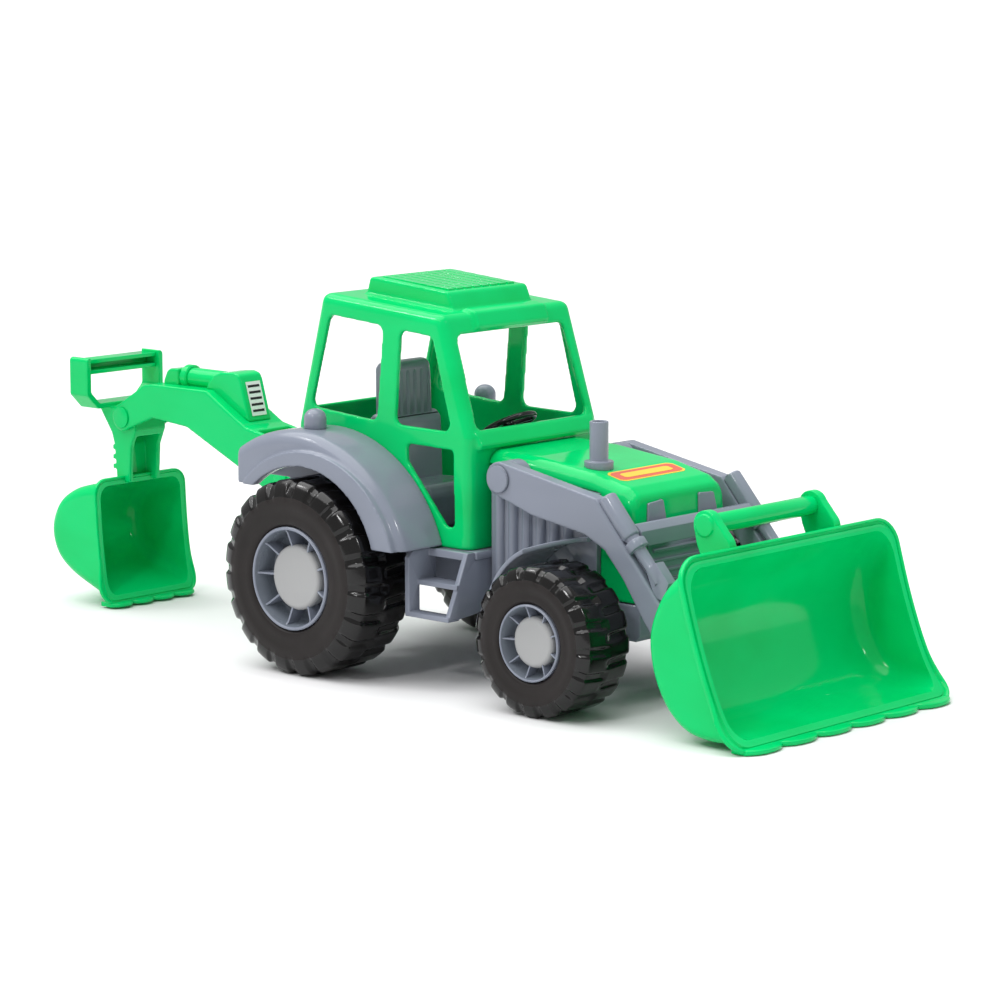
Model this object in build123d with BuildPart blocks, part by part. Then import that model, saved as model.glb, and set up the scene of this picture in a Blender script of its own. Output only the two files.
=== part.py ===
from build123d import *

import os
from math import cos, radians, sin
from typing import NamedTuple

# Toy backhoe loader, all sizes in mm.
# +X points forwards to the front loader, +Y to the driver's left, +Z up.
# The origin lies on the floor, midway under the rear axle.

# ---------------------------------------------------------------- driving dimensions
wheelbase = 156.0
axle_radius = 2.5
running_clearance = 0.06
body_gap = 0.3

deck_top = 68.0
deck_thickness = 4.0
deck_rear = -40.0
deck_front = 88.0

cab_half_width = 49.3
cab_wall = 3.0
cab_front = 83.5

hood_half_width = 36.0
hood_wall = 2.5
hood_side_front = 157.0
hood_side_floor = 51.5

fender_inner = cab_half_width
fender_outer = 81.5
fender_lip_outer = 84.0
fender_skin = 3.0
fender_centre = (-9.0, 44.5)
fender_radius = 78.5
arch_centre = (-0.8, 54.3)
arch_radius = 51.5
flare_centre = (2.6, 51.1)
flare_radius = 62.7

arm_inner = 44.0
arm_outer = 52.0
arm_pivot = (105.0, 107.0)
arm_pivot_radius = 8.5
arm_pin_radius = 3.5
bucket_pivot = (213.5, 39.0)
bucket_eye_radius = 7.2
bucket_pin_radius = 2.5

front_bucket_half_width = 83.0
front_bucket_wall = 3.0
rim_band = 8.0
rim_proud = 2.5

swing_axis_x = -62.0
swing_pin_radius = 3.0
boom_foot = (-84.0, 82.0)
boom_foot_radius = 9.4
boom_tip = (-209.0, 105.0)
boom_tip_radius = 7.6
boom_half_width = 15.0
boom_wall = 3.0
tongue_half_width = 11.6
link_pin_radius = 3.0

rear_bucket_half_width = 33.0
rear_bucket_wall = 2.6
rear_rim_proud = 1.4


class WheelSize(NamedTuple):
    """Main sizes of one wheel on the right-hand side, so its Y values are negative."""

    name: str
    axle_x: float
    radius: float
    outer_face: float
    inner_face: float
    bead_radius: float
    cap_radius: float
    cap_face: float


rear_wheel = WheelSize("rear", 0.0, 50.0, -93.6, -53.0, 26.4, 16.7, -88.4)
front_wheel = WheelSize("front", wheelbase, 36.8, -88.0, -52.6, 18.9, 12.6, -84.4)

os.makedirs("parts", exist_ok=True)


# ---------------------------------------------------------------- helpers
def save(piece, name):
    """Label one finished piece and write it to the parts folder."""
    piece.label = name
    export_step(piece, f"parts/{name}.step")


def save_pair(right_piece, name):
    """Write a right-hand piece and its mirror image on the left."""
    left_piece = mirror(right_piece, about=Plane.XZ)
    save(right_piece, f"right_{name}")
    save(left_piece, f"left_{name}")


def side_view(points, y=0.0, rounding=0.0):
    """Closed outline in the (X, Z) plane at one Y, facing -Y."""
    with BuildSketch(Plane.XZ.offset(-y)) as outline:
        with BuildLine():
            Polyline(*points, close=True)
        make_face()
        if rounding > 0:
            fillet(outline.vertices(), radius=rounding)
    return outline.sketch


def front_view(points, x=0.0, rounding=0.0):
    """Closed outline in the (Y, Z) plane at one X, facing +X."""
    with BuildSketch(Plane.YZ.offset(x)) as outline:
        with BuildLine():
            Polyline(*points, close=True)
        make_face()
        if rounding > 0:
            fillet(outline.vertices(), radius=rounding)
    return outline.sketch


def side_disc(centre, radius, y=0.0):
    """Round outline in the (X, Z) plane at one Y, facing -Y."""
    with BuildSketch(Plane.XZ.offset(-y)) as outline:
        with Locations(centre):
            Circle(radius)
    return outline.sketch


def disc_view(centre, radius, z):
    """Round outline in the (X, Y) plane at one height, facing +Z."""
    with BuildSketch(Plane.XY.offset(z)) as outline:
        with Locations(centre):
            Circle(radius)
    return outline.sketch


def link_ends(start, start_radius, end, end_radius, sign):
    """Points where a straight edge leaves one round end and reaches the other."""
    run_x = end[0] - start[0]
    run_z = end[1] - start[1]
    length = (run_x**2 + run_z**2) ** 0.5
    normal = (-run_z / length * sign, run_x / length * sign)
    first = (start[0] + normal[0] * start_radius, start[1] + normal[1] * start_radius)
    last = (end[0] + normal[0] * end_radius, end[1] + normal[1] * end_radius)
    return first, last


# ---------------------------------------------------------------- wheels and axles
clip_depth = 7.0
clip_thickness = 1.2


def wheel_plane(wheel):
    """Half-section plane of a wheel: first axis +Y, second axis the radius."""
    return Plane(origin=(wheel.axle_x, 0, wheel.radius), x_dir=(0, 1, 0), z_dir=(1, 0, 0))


def wheel_axis(wheel):
    return Axis((wheel.axle_x, 0, wheel.radius), (0, 1, 0))


def face_plane(wheel, y):
    """Plane across the wheel at one Y, facing outwards on the right-hand side."""
    return Plane(origin=(wheel.axle_x, y, wheel.radius), x_dir=(1, 0, 0), z_dir=(0, -1, 0))


def build_tyre(wheel):
    """Hollow tyre, open towards the rim, with bevelled shoulders."""
    wall = 3.0
    shoulder_rise = 0.2 * wheel.radius
    shoulder_run = 0.12 * wheel.radius
    low = wheel.bead_radius
    side = wheel.radius - shoulder_rise
    with BuildPart() as tyre:
        with BuildSketch(wheel_plane(wheel)) as section:
            with BuildLine():
                Polyline(
                    (wheel.outer_face, low),
                    (wheel.outer_face, side),
                    (wheel.outer_face + shoulder_run, wheel.radius),
                    (wheel.inner_face - shoulder_run, wheel.radius),
                    (wheel.inner_face, side),
                    (wheel.inner_face, low),
                    (wheel.inner_face - wall, low),
                    (wheel.inner_face - wall, side - 1),
                    (wheel.inner_face - wall - shoulder_run, wheel.radius - wall),
                    (wheel.outer_face + wall + shoulder_run, wheel.radius - wall),
                    (wheel.outer_face + wall, side - 1),
                    (wheel.outer_face + wall, low),
                    close=True,
                )
            make_face()
            rounded = section.vertices().filter_by(lambda v: v.Z > wheel.radius + side - 2)
            fillet(rounded, radius=2.0)
        revolve(axis=wheel_axis(wheel))
    return tyre.part


def build_rim(wheel):
    """Rim insert: outer drum, deep web with eight ribs and holes, and a bored hub."""
    drum_wall = 2.2
    drum_end = wheel.inner_face - 2.0
    web_face = wheel.outer_face + 16.0
    web_thickness = 2.4
    hub_front = wheel.cap_face + 2.0
    hub_back = wheel.inner_face - 0.6
    recess_radius = wheel.cap_radius - 2.6
    recess_floor = wheel.cap_face + clip_depth + 1.0
    drum_inner = wheel.bead_radius - drum_wall
    with BuildPart() as rim:
        with BuildSketch(wheel_plane(wheel)):
            with BuildLine():
                Polyline(
                    (wheel.outer_face, drum_inner),
                    (wheel.outer_face, wheel.bead_radius),
                    (drum_end, wheel.bead_radius),
                    (drum_end, drum_inner),
                    (web_face + web_thickness, drum_inner),
                    (web_face + web_thickness, 9.0),
                    (hub_back, 9.0),
                    (hub_back, axle_radius + running_clearance),
                    (recess_floor, axle_radius + running_clearance),
                    (recess_floor, recess_radius),
                    (hub_front, recess_radius),
                    (hub_front, wheel.cap_radius),
                    (web_face, wheel.cap_radius),
                    (web_face, drum_inner),
                    close=True,
                )
            make_face()
        revolve(axis=wheel_axis(wheel))
        rib_length = drum_inner - wheel.cap_radius + 1.0
        rib_middle = (drum_inner + wheel.cap_radius) / 2
        with BuildSketch(face_plane(wheel, web_face)):
            with PolarLocations(rib_middle, 8):
                Rectangle(rib_length, 1.6)
        extrude(amount=web_face - hub_front)
        with BuildSketch(face_plane(wheel, web_face)):
            with PolarLocations(rib_middle, 8, start_angle=22.5):
                Circle(0.36 * (drum_inner - wheel.cap_radius))
        extrude(amount=-web_thickness, mode=Mode.SUBTRACT)
    return rim.part


def build_cap(wheel):
    """Flat hub cap with a short plug that presses into the hub's recess."""
    plug_radius = wheel.cap_radius - 2.6
    hub_front = wheel.cap_face + 2.0
    with BuildPart() as cap:
        with BuildSketch(wheel_plane(wheel)):
            with BuildLine():
                Polyline(
                    (wheel.cap_face, 0),
                    (wheel.cap_face, wheel.cap_radius - 0.8),
                    (wheel.cap_face + 0.8, wheel.cap_radius),
                    (hub_front, wheel.cap_radius),
                    (hub_front, plug_radius),
                    (hub_front + 2.5, plug_radius),
                    (hub_front + 2.5, plug_radius - 2.0),
                    (hub_front, plug_radius - 2.0),
                    (hub_front, 0),
                    close=True,
                )
            make_face()
        revolve(axis=wheel_axis(wheel))
    return cap.part


def clip_face(wheel):
    """Y of the outer face of the clip that keeps the wheel on its axle."""
    return wheel.cap_face + clip_depth - 0.5


def build_axle(wheel):
    """Straight steel rod with both ends just outside the clips."""
    half_length = -clip_face(wheel) + 1.0
    with BuildPart() as axle:
        extrude(
            side_disc((wheel.axle_x, wheel.radius), axle_radius),
            amount=half_length,
            both=True,
        )
        chamfer(axle.edges().filter_by(GeomType.CIRCLE), length=0.5)
    return axle.part


for wheel in (rear_wheel, front_wheel):
    save_pair(build_tyre(wheel), f"{wheel.name}_tyre")
    save_pair(build_rim(wheel), f"{wheel.name}_rim")
    save_pair(build_cap(wheel), f"{wheel.name}_hub_cap")
    save(build_axle(wheel), f"{wheel.name}_axle")

with BuildPart() as axle_clips:
    for wheel in (rear_wheel, front_wheel):
        for outer_y in (clip_face(wheel) + clip_thickness, -clip_face(wheel)):
            with BuildSketch(Plane.XZ.offset(-outer_y)):
                with Locations((wheel.axle_x, wheel.radius)):
                    Circle(2.2 * axle_radius)
                    Circle(axle_radius, mode=Mode.SUBTRACT)
            extrude(amount=clip_thickness)
save(axle_clips.part, "axle_clips")


# ---------------------------------------------------------------- chassis
rail_inner = 22.0
rail_outer = 28.0
rail_floor = 42.0
engine_bay_half_width = 34.5
engine_floor = (47.0, 51.0)
bumper_half_width = 36.4
bumper_rear = 158.0
bumper_front = 183.0
bumper_bottom = 33.0
boss_radius = 7.5
hub_gap = 0.7
screw_places = [(-31.0, -43.2), (-31.0, 43.2), (74.0, -43.2), (74.0, 43.2)]
screw_shank_radius = 1.4
screw_head_radius = 3.2
screw_head_height = 2.0
screw_boss_radius = 4.0
screw_top = 78.0
deck_bottom = deck_top - deck_thickness

with BuildPart() as chassis:
    deck_points = [
        (deck_rear, deck_bottom),
        (deck_front, deck_bottom),
        (deck_front, deck_top),
        (deck_rear, deck_top),
    ]
    extrude(side_view(deck_points), amount=cab_half_width, both=True)
    rear_wall_points = [
        (deck_rear, rail_floor),
        (deck_rear + 4, rail_floor),
        (deck_rear + 4, deck_bottom),
        (deck_rear, deck_bottom),
    ]
    extrude(side_view(rear_wall_points), amount=engine_bay_half_width, both=True)
    step_wall_points = [
        (deck_front - 4, engine_floor[0]),
        (deck_front, engine_floor[0]),
        (deck_front, deck_bottom),
        (deck_front - 4, deck_bottom),
    ]
    extrude(side_view(step_wall_points), amount=engine_bay_half_width, both=True)
    bay_points = [
        (deck_front - 4, engine_floor[0]),
        (bumper_rear, engine_floor[0]),
        (bumper_rear, engine_floor[1]),
        (deck_front - 4, engine_floor[1]),
    ]
    extrude(side_view(bay_points), amount=engine_bay_half_width, both=True)
    bumper_points = [
        (bumper_rear, bumper_bottom),
        (bumper_front - 3, bumper_bottom),
        (bumper_front, bumper_bottom + 3),
        (bumper_front, engine_floor[1]),
        (bumper_rear, engine_floor[1]),
    ]
    extrude(side_view(bumper_points), amount=bumper_half_width, both=True)
    bumper_hollow = [
        (bumper_rear + 4, bumper_bottom - 1),
        (bumper_front - 4, bumper_bottom - 1),
        (bumper_front - 4, engine_floor[0]),
        (bumper_rear + 4, engine_floor[0]),
    ]
    extrude(
        side_view(bumper_hollow),
        amount=bumper_half_width - 4,
        both=True,
        mode=Mode.SUBTRACT,
    )
    # Two long rails under the deck carry the axle bearings.
    rail_points = [
        (deck_rear, rail_floor),
        (deck_front, rail_floor),
        (bumper_rear - 16, 30.0),
        (bumper_rear + 6, 30.0),
        (bumper_rear + 6, engine_floor[0] + 1),
        (deck_front - 2, engine_floor[0] + 1),
        (deck_front - 2, deck_bottom + 1),
        (deck_rear, deck_bottom + 1),
    ]
    for rail_y in (rail_outer, -rail_inner):
        extrude(side_view(rail_points, rail_y), amount=rail_outer - rail_inner)
    # Bearing tubes reach out from the rails to the wheel hubs.
    for wheel in (rear_wheel, front_wheel):
        boss_end = -wheel.inner_face - hub_gap
        for boss_y in (boss_end, -rail_inner):
            with BuildSketch(Plane.XZ.offset(-boss_y)):
                with Locations((wheel.axle_x, wheel.radius)):
                    Circle(boss_radius)
            extrude(amount=boss_end - rail_inner)
        # The rod passes through both rails and both tubes.
        with BuildSketch(Plane.XZ.offset(-60)):
            with Locations((wheel.axle_x, wheel.radius)):
                Circle(axle_radius)
        extrude(amount=120, mode=Mode.SUBTRACT)
    # Cross ribs stiffen the tray between the rails.
    for rib_x in (-20.0, 24.0, 48.0):
        with BuildSketch(Plane.YZ.offset(rib_x)):
            with Locations((0, (50.0 + deck_bottom) / 2)):
                Rectangle(2 * rail_inner + 2, deck_bottom - 50.0)
        extrude(amount=3.0)
    with BuildSketch(Plane.XY.offset(deck_bottom)):
        with Locations(*screw_places):
            Circle(screw_shank_radius)
    extrude(amount=deck_thickness, mode=Mode.SUBTRACT)
save(chassis.part, "chassis")

with BuildPart() as body_screws:
    with BuildSketch(Plane.XY.offset(deck_bottom)):
        with Locations(*screw_places):
            Circle(screw_head_radius)
    extrude(amount=-screw_head_height)
    with BuildSketch(Plane.XY.offset(deck_bottom)):
        with Locations(*screw_places):
            Circle(screw_shank_radius)
    extrude(amount=screw_top - 2 - deck_bottom)
    # Cross slots in the heads.
    with BuildSketch(Plane.XY.offset(deck_bottom - screw_head_height)):
        with Locations(*screw_places):
            Rectangle(3.6, 0.9)
            Rectangle(0.9, 3.6)
    extrude(amount=1.0, mode=Mode.SUBTRACT)
save(body_screws.part, "body_screws")

# ---------------------------------------------------------------- rear fenders
fender_front_angle = 18.2
fender_tail_angle = 134.0
fender_tail = (-61.0, 93.0)
fender_floor = 69.0
fender_shoulder = 7.0
wheel_well_floor = 60.0


def around(centre, radius, angle):
    """Point on a circle in the (X, Z) plane, the angle measured from +X towards +Z."""
    return (
        centre[0] + radius * cos(radians(angle)),
        centre[1] + radius * sin(radians(angle)),
    )


def fender_outline(y, radius, tail, floor):
    """Side outline of the fender's top arc, closed along a flat bottom."""
    front = around(fender_centre, radius, fender_front_angle)
    crest = around(fender_centre, radius, 80)
    back = around(fender_centre, radius, fender_tail_angle)
    with BuildSketch(Plane.XZ.offset(-y)) as outline:
        with BuildLine():
            ThreePointArc(front, crest, back)
            Polyline(back, tail, (tail[0], floor), (front[0], floor), front)
        make_face()
    return outline.sketch


with BuildPart() as fender:
    extrude(
        fender_outline(-fender_inner, fender_radius, fender_tail, fender_floor),
        amount=fender_outer - fender_inner,
    )
    top_edges = fender.edges().filter_by(lambda e: e.center().Z > 95 and e.length > 60)
    fillet(top_edges.sort_by(Axis.Y)[0], radius=fender_shoulder)
    pocket_tail = (fender_tail[0] + fender_skin, fender_tail[1])
    extrude(
        fender_outline(
            -fender_inner - fender_skin + 0.5,
            fender_radius - fender_skin,
            pocket_tail,
            fender_floor - 5,
        ),
        amount=fender_outer - fender_inner - 2 * fender_skin + 0.5,
        mode=Mode.SUBTRACT,
    )
    # The flared lip stands proud of the side all round the arch.
    with BuildSketch(Plane.XZ.offset(fender_outer - 1.0)):
        with Locations(flare_centre):
            Circle(flare_radius)
        with Locations((0, fender_floor - 100)):
            Rectangle(200, 200, mode=Mode.SUBTRACT)
        with Locations((-92, 90)):
            Rectangle(100, 200, mode=Mode.SUBTRACT)
    extrude(amount=fender_lip_outer - fender_outer + 1.0)
    # Everything inside the wheel arch and below the tail is open.
    with BuildSketch(Plane.XZ.offset(fender_inner + fender_skin - 0.5)):
        with Locations(arch_centre):
            Circle(arch_radius)
        with Locations((-70, fender_tail[1] - 30)):
            Rectangle(80, 60)
    extrude(amount=60, mode=Mode.SUBTRACT)
    # Behind the cab nothing hangs below the tail.
    with BuildSketch(Plane.XZ.offset(fender_inner - 1)):
        with Locations((deck_rear - 25, fender_tail[1] - 30)):
            Rectangle(50, 60)
    extrude(amount=60, mode=Mode.SUBTRACT)
    # The wheel well's inner wall runs down to the chassis deck.
    with BuildSketch(Plane.XZ.offset(fender_inner)):
        with BuildLine():
            Polyline(
                (deck_rear, wheel_well_floor),
                (57.0, wheel_well_floor),
                (57.0, 78.0),
                (20.0, 112.0),
                (-40.0, 112.0),
                close=True,
            )
        make_face()
    extrude(amount=fender_skin - 0.5)
    # In plan the tail is cut back towards the outer side.
    with BuildSketch(Plane.XY.offset(60)):
        with BuildLine():
            Polyline((-63, -60), (-42, -90), (-90, -90), (-90, -60), close=True)
        make_face()
    extrude(amount=80, mode=Mode.SUBTRACT)
save_pair(fender.part, "rear_fender")

light_place = (-9.0, -64.3)
light_radius = 5.8
light_top = 133.0

with BuildPart() as marker_light:
    with BuildSketch(Plane.XY.offset(118)):
        with Locations(light_place):
            Circle(light_radius)
    extrude(amount=light_top - 118)
    fillet(marker_light.faces().sort_by(Axis.Z)[-1].edges(), radius=light_radius - 0.4)
    with BuildSketch(Plane.XZ.offset(50)):
        with Locations(fender_centre):
            Circle(fender_radius)
    extrude(amount=40, mode=Mode.SUBTRACT)
save_pair(marker_light.part, "marker_light")

# ---------------------------------------------------------------- steps
step_rear = 57.5
step_plate = 3.0
step_front = 87.0
step_bottom = 35.0
step_outer = 69.0
tread_thickness = 2.5
# Height of each tread's underside, then its outer and inner edge from the middle.
treads = ((step_bottom, step_outer, 61.0), (50.5, 62.6, 50.0))

with BuildPart() as step:
    rear_plate = [
        (-fender_inner, deck_top),
        (-step_outer + 3, deck_top),
        (-step_outer, deck_top - 3),
        (-step_outer, step_bottom),
        (-step_outer + 8, step_bottom),
        (-step_outer + 8, 52.0),
        (-fender_inner, 52.0),
    ]
    extrude(front_view(rear_plate, step_rear), amount=step_plate)
    front_plate = [
        (-engine_bay_half_width, deck_bottom),
        (-fender_inner, deck_bottom),
        (-fender_inner, deck_top),
        (-54.5, deck_top),
        (-step_outer, step_bottom),
        (-engine_bay_half_width, step_bottom + 3),
    ]
    extrude(front_view(front_plate, step_front - step_plate), amount=step_plate)
    top_plate = [
        (-fender_inner, deck_bottom),
        (-54.5, deck_bottom),
        (-54.5, deck_top),
        (-fender_inner, deck_top),
    ]
    extrude(front_view(top_plate, step_rear), amount=step_front - step_rear)
    for tread_z, tread_outer, tread_inner in treads:
        tread = [
            (-tread_inner, tread_z),
            (-tread_outer, tread_z),
            (-tread_outer, tread_z + tread_thickness),
            (-tread_inner, tread_z + tread_thickness),
        ]
        extrude(front_view(tread, step_rear), amount=step_front - step_rear)
save_pair(step.part, "step")

# ---------------------------------------------------------------- cab
cab_outline = [
    (-37.5, deck_top),
    (-37.5, 121.0),
    (-19.5, 190.3),
    (64.0, 184.0),
    (cab_front, 124.5),
    (cab_front, deck_top),
]
rear_side_window = [(-13.4, 179.3), (-26.9, 131.1), (19.7, 127.6), (24.2, 176.3)]
front_side_window = [(36.0, 175.1), (32.2, 127.2), (70.9, 126.6), (57.9, 173.3)]
door_window = [(40.5, 118.0), (72.2, 117.6), (72.8, 78.6), (67.0, 78.6), (40.5, 109.0)]
windshield = [(-42.3, 127.6), (42.3, 127.6), (40.5, 174.0), (-40.5, 174.0)]
back_window = [(-41.5, 130.0), (41.5, 130.0), (40.0, 178.0), (-40.0, 178.0)]
brow_outline = [(82.0, 119.0), (85.5, 118.0), (86.8, 120.5), (83.4, 127.0), (82.0, 127.0)]
visor_outline = [(58.0, 181.0), (66.0, 174.6), (69.6, 176.5), (66.8, 184.6), (58.0, 186.4)]
pad_outline = [(-6.0, 187.0), (-3.0, 198.2), (51.0, 193.6), (56.0, 182.0)]
pad_half_width = 30.0
groove_pitch = 7.0

with BuildPart() as cab_shell:
    extrude(side_view(cab_outline), amount=cab_half_width, both=True)
    corner_edges = cab_shell.edges().filter_by(lambda e: e.center().Z > deck_top + 1)
    fillet(corner_edges, radius=5.0)
    lowered = [(x, z if z > deck_top + 1 else z - 20) for x, z in cab_outline]
    with BuildSketch(Plane.XZ):
        with BuildLine():
            Polyline(*lowered, close=True)
        make_face()
        offset(amount=-cab_wall, kind=Kind.INTERSECTION)
    extrude(amount=cab_half_width - cab_wall, both=True, mode=Mode.SUBTRACT)
    # Roof vent pad with lengthwise grooves, moulded with the roof.
    extrude(side_view(pad_outline, rounding=2.5), amount=pad_half_width, both=True)
    with BuildSketch(Plane.XZ):
        with BuildLine():
            Polyline(*lowered, close=True)
        make_face()
        offset(amount=-cab_wall, kind=Kind.INTERSECTION)
    extrude(amount=pad_half_width + 1, both=True, mode=Mode.SUBTRACT)
    for groove in range(-3, 5):
        groove_y = (groove - 0.5) * groove_pitch
        groove_line = [(3.0, 196.8), (3.0, 202.0), (47.0, 202.0), (47.0, 193.0)]
        extrude(side_view(groove_line, groove_y + 0.5), amount=1.0, mode=Mode.SUBTRACT)
    extrude(side_view(visor_outline, rounding=1.5), amount=27.0, both=True)
    extrude(side_view(brow_outline, rounding=0.8), amount=cab_half_width - 5, both=True)
    for window, corner in ((rear_side_window, 4.0), (front_side_window, 4.0), (door_window, 2.2)):
        extrude(
            side_view(window, rounding=corner),
            amount=cab_half_width + 1,
            both=True,
            mode=Mode.SUBTRACT,
        )
    extrude(front_view(windshield, 56.0, 4.0), amount=40, mode=Mode.SUBTRACT)
    extrude(front_view(back_window, -45.0, 4.0), amount=35, mode=Mode.SUBTRACT)
    with BuildSketch(Plane.XY.offset(deck_top)):
        with Locations(*screw_places):
            Circle(screw_boss_radius)
    extrude(amount=screw_top - deck_top)
    with BuildSketch(Plane.XY.offset(deck_top)):
        with Locations(*screw_places):
            Circle(screw_shank_radius)
    extrude(amount=screw_top - 2 - deck_top, mode=Mode.SUBTRACT)
save(cab_shell.part, "cab_shell")

# ---------------------------------------------------------------- hood and engine sides
hood_rear = 84.0
hood_outline = [
    (hood_rear, 117.5),
    (112.0, 116.4),
    (150.0, 112.2),
    (171.0, 107.2),
    (177.0, 103.0),
    (183.0, hood_side_floor),
    (hood_side_front, hood_side_floor),
    (hood_side_front, 103.4),
    (hood_rear, 111.0),
]
hood_hollow = [
    (hood_rear - 5, 115.0),
    (112.0, 113.8),
    (149.6, 109.7),
    (170.0, 104.8),
    (174.8, 101.6),
    (180.4, hood_side_floor),
    (180.6, hood_side_floor - 5),
    (hood_rear - 5, hood_side_floor - 5),
]
grille_half_width = 27.0
grille_top = 86.0

with BuildPart() as hood:
    extrude(side_view(hood_outline), amount=hood_half_width, both=True)
    top_edges = hood.edges().filter_by(lambda e: e.center().Z > 104.5)
    long_edges = top_edges.filter_by(lambda e: abs(e.center().Y) > hood_half_width - 1)
    rim_edges = long_edges.filter_by(lambda e: e.center().X > hood_rear + 1)
    upper_edges = rim_edges.filter_by(lambda e: e.center().Z > 104.8 and e.length < 45)
    fillet(upper_edges, radius=8.0)
    nose_edges = hood.edges().filter_by(
        lambda e: e.center().X > 178 and e.length > 30 and abs(e.center().Y) > 30
    )
    fillet(nose_edges, radius=5.0)
    extrude(
        side_view(hood_hollow),
        amount=hood_half_width - hood_wall,
        both=True,
        mode=Mode.SUBTRACT,
    )
    nose_window = [
        (-grille_half_width, hood_side_floor - 1),
        (grille_half_width, hood_side_floor - 1),
        (grille_half_width, grille_top),
        (-grille_half_width, grille_top),
    ]
    extrude(front_view(nose_window, 174.0), amount=12, mode=Mode.SUBTRACT)
save(hood.part, "hood")

with BuildPart() as nose_grille:
    # Two trapezoid headlights lie on the sloping nose.
    for side in (-1, 1):
        lamp = [(side * 11.5, 80.0), (side * 28.6, 80.0), (side * 25.2, 99.6), (side * 13.8, 100.4)]
        extrude(front_view(lamp, 170.0, 1.2), amount=20)
    nose_run = (183.0 - 177.0) / (103.0 - hood_side_floor)
    lamp_skin = [
        (177.0, 103.0),
        (178.3, 103.0),
        (178.3 + nose_run * 23, 80.0),
        (177.0 + nose_run * 23, 80.0),
    ]
    extrude(side_view(lamp_skin), amount=40, both=True, mode=Mode.INTERSECT)
    # The plate fills the hood's nose opening and carries level slats.
    plate = [
        (177.0 + nose_run * 17 - 2.4, grille_top),
        (177.0 + nose_run * 17, grille_top),
        (183.0, hood_side_floor),
        (183.0 - 2.4, hood_side_floor),
    ]
    extrude(side_view(plate), amount=grille_half_width, both=True)
    for slat in range(5):
        slat_z = 55.0 + slat * 5.0
        slat_x = 183.0 - nose_run * (slat_z - hood_side_floor)
        slat_points = [
            (slat_x - 1, slat_z),
            (slat_x + 1.2, slat_z + 0.6),
            (slat_x + 1.2, slat_z + 1.8),
            (slat_x - 1, slat_z + 2.4),
        ]
        extrude(side_view(slat_points), amount=grille_half_width - 3, both=True)
save(nose_grille.part, "nose_grille")

panel_outer = 38.5
pivot_boss_outer = 43.7
rib_pitch = 9.0
rib_radius = 3.0
rib_count = 6
mudguard_centre = (wheelbase, 37.5)
mudguard_radius = 45.0
mudguard_skin = 2.4
mudguard_outer = 70.0

with BuildPart() as engine_panel:
    panel_points = [
        (deck_front, engine_floor[0]),
        (hood_side_front, engine_floor[0]),
        (hood_side_front, 103.4),
        (deck_front, 110.5),
    ]
    extrude(
        side_view(panel_points, -engine_bay_half_width),
        amount=panel_outer - engine_bay_half_width,
    )
    # Upright half-round ribs.
    for rib in range(rib_count):
        rib_x = deck_front + 6.5 + rib * rib_pitch
        with BuildSketch(Plane.XY.offset(engine_floor[1])):
            with Locations((rib_x, -panel_outer)):
                Circle(rib_radius)
            with Locations((rib_x, -panel_outer + 10)):
                Rectangle(20, 20, mode=Mode.SUBTRACT)
        extrude(amount=50.0)
    # The ribs stop above the mudguard.
    extrude(
        side_disc(mudguard_centre, mudguard_radius, -panel_outer),
        amount=2 * rib_radius,
        mode=Mode.SUBTRACT,
    )
    # Round boss that carries the loader arm's pivot.
    with BuildSketch(Plane.XZ.offset(engine_bay_half_width + 1.5)):
        with Locations(arm_pivot):
            Circle(arm_pivot_radius)
    extrude(amount=pivot_boss_outer - engine_bay_half_width - 1.5)
    with BuildSketch(Plane.XZ.offset(engine_bay_half_width)):
        with Locations(arm_pivot):
            Circle(arm_pin_radius)
    extrude(amount=20, mode=Mode.SUBTRACT)
save_pair(engine_panel.part, "engine_panel")

with BuildPart() as arm_pin:
    with BuildSketch(Plane.XZ.offset(engine_bay_half_width + 2)):
        with Locations(arm_pivot):
            Circle(arm_pin_radius)
    extrude(amount=arm_outer + body_gap - engine_bay_half_width - 2)
    with BuildSketch(Plane.XZ.offset(arm_outer + body_gap)):
        with Locations(arm_pivot):
            Circle(7.0)
    extrude(amount=1.2)
    chamfer(arm_pin.faces().sort_by(Axis.Y)[0].edges(), length=0.5)
save_pair(arm_pin.part, "arm_pin")

with BuildPart() as mudguard:
    with BuildSketch(Plane.XZ.offset(panel_outer)):
        with BuildLine():
            low_outer = around(mudguard_centre, mudguard_radius, 166)
            mid_outer = around(mudguard_centre, mudguard_radius, 130)
            top_outer = around(mudguard_centre, mudguard_radius, 92)
            top_inner = around(mudguard_centre, mudguard_radius - mudguard_skin, 92)
            mid_inner = around(mudguard_centre, mudguard_radius - mudguard_skin, 130)
            low_inner = around(mudguard_centre, mudguard_radius - mudguard_skin, 166)
            ThreePointArc(low_outer, mid_outer, top_outer)
            Line(top_outer, top_inner)
            ThreePointArc(top_inner, mid_inner, low_inner)
            Line(low_inner, low_outer)
        make_face()
    extrude(amount=mudguard_outer - panel_outer)
    # In plan the lip sweeps back to the engine side at its front end.
    with BuildSketch(Plane.XY.offset(40)):
        with BuildLine():
            Polyline((136, -mudguard_outer - 1), (152, -panel_outer - 5), (160, -panel_outer - 3))
            Polyline((160, -panel_outer - 3), (170, -80), (136, -80), (136, -mudguard_outer - 1))
        make_face()
    extrude(amount=50, mode=Mode.SUBTRACT)
save_pair(mudguard.part, "mudguard")

stack_place = (142.5, -20.0)
stack_base_radius = 7.3
stack_radius = 4.7
stack_top = 136.0

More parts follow.
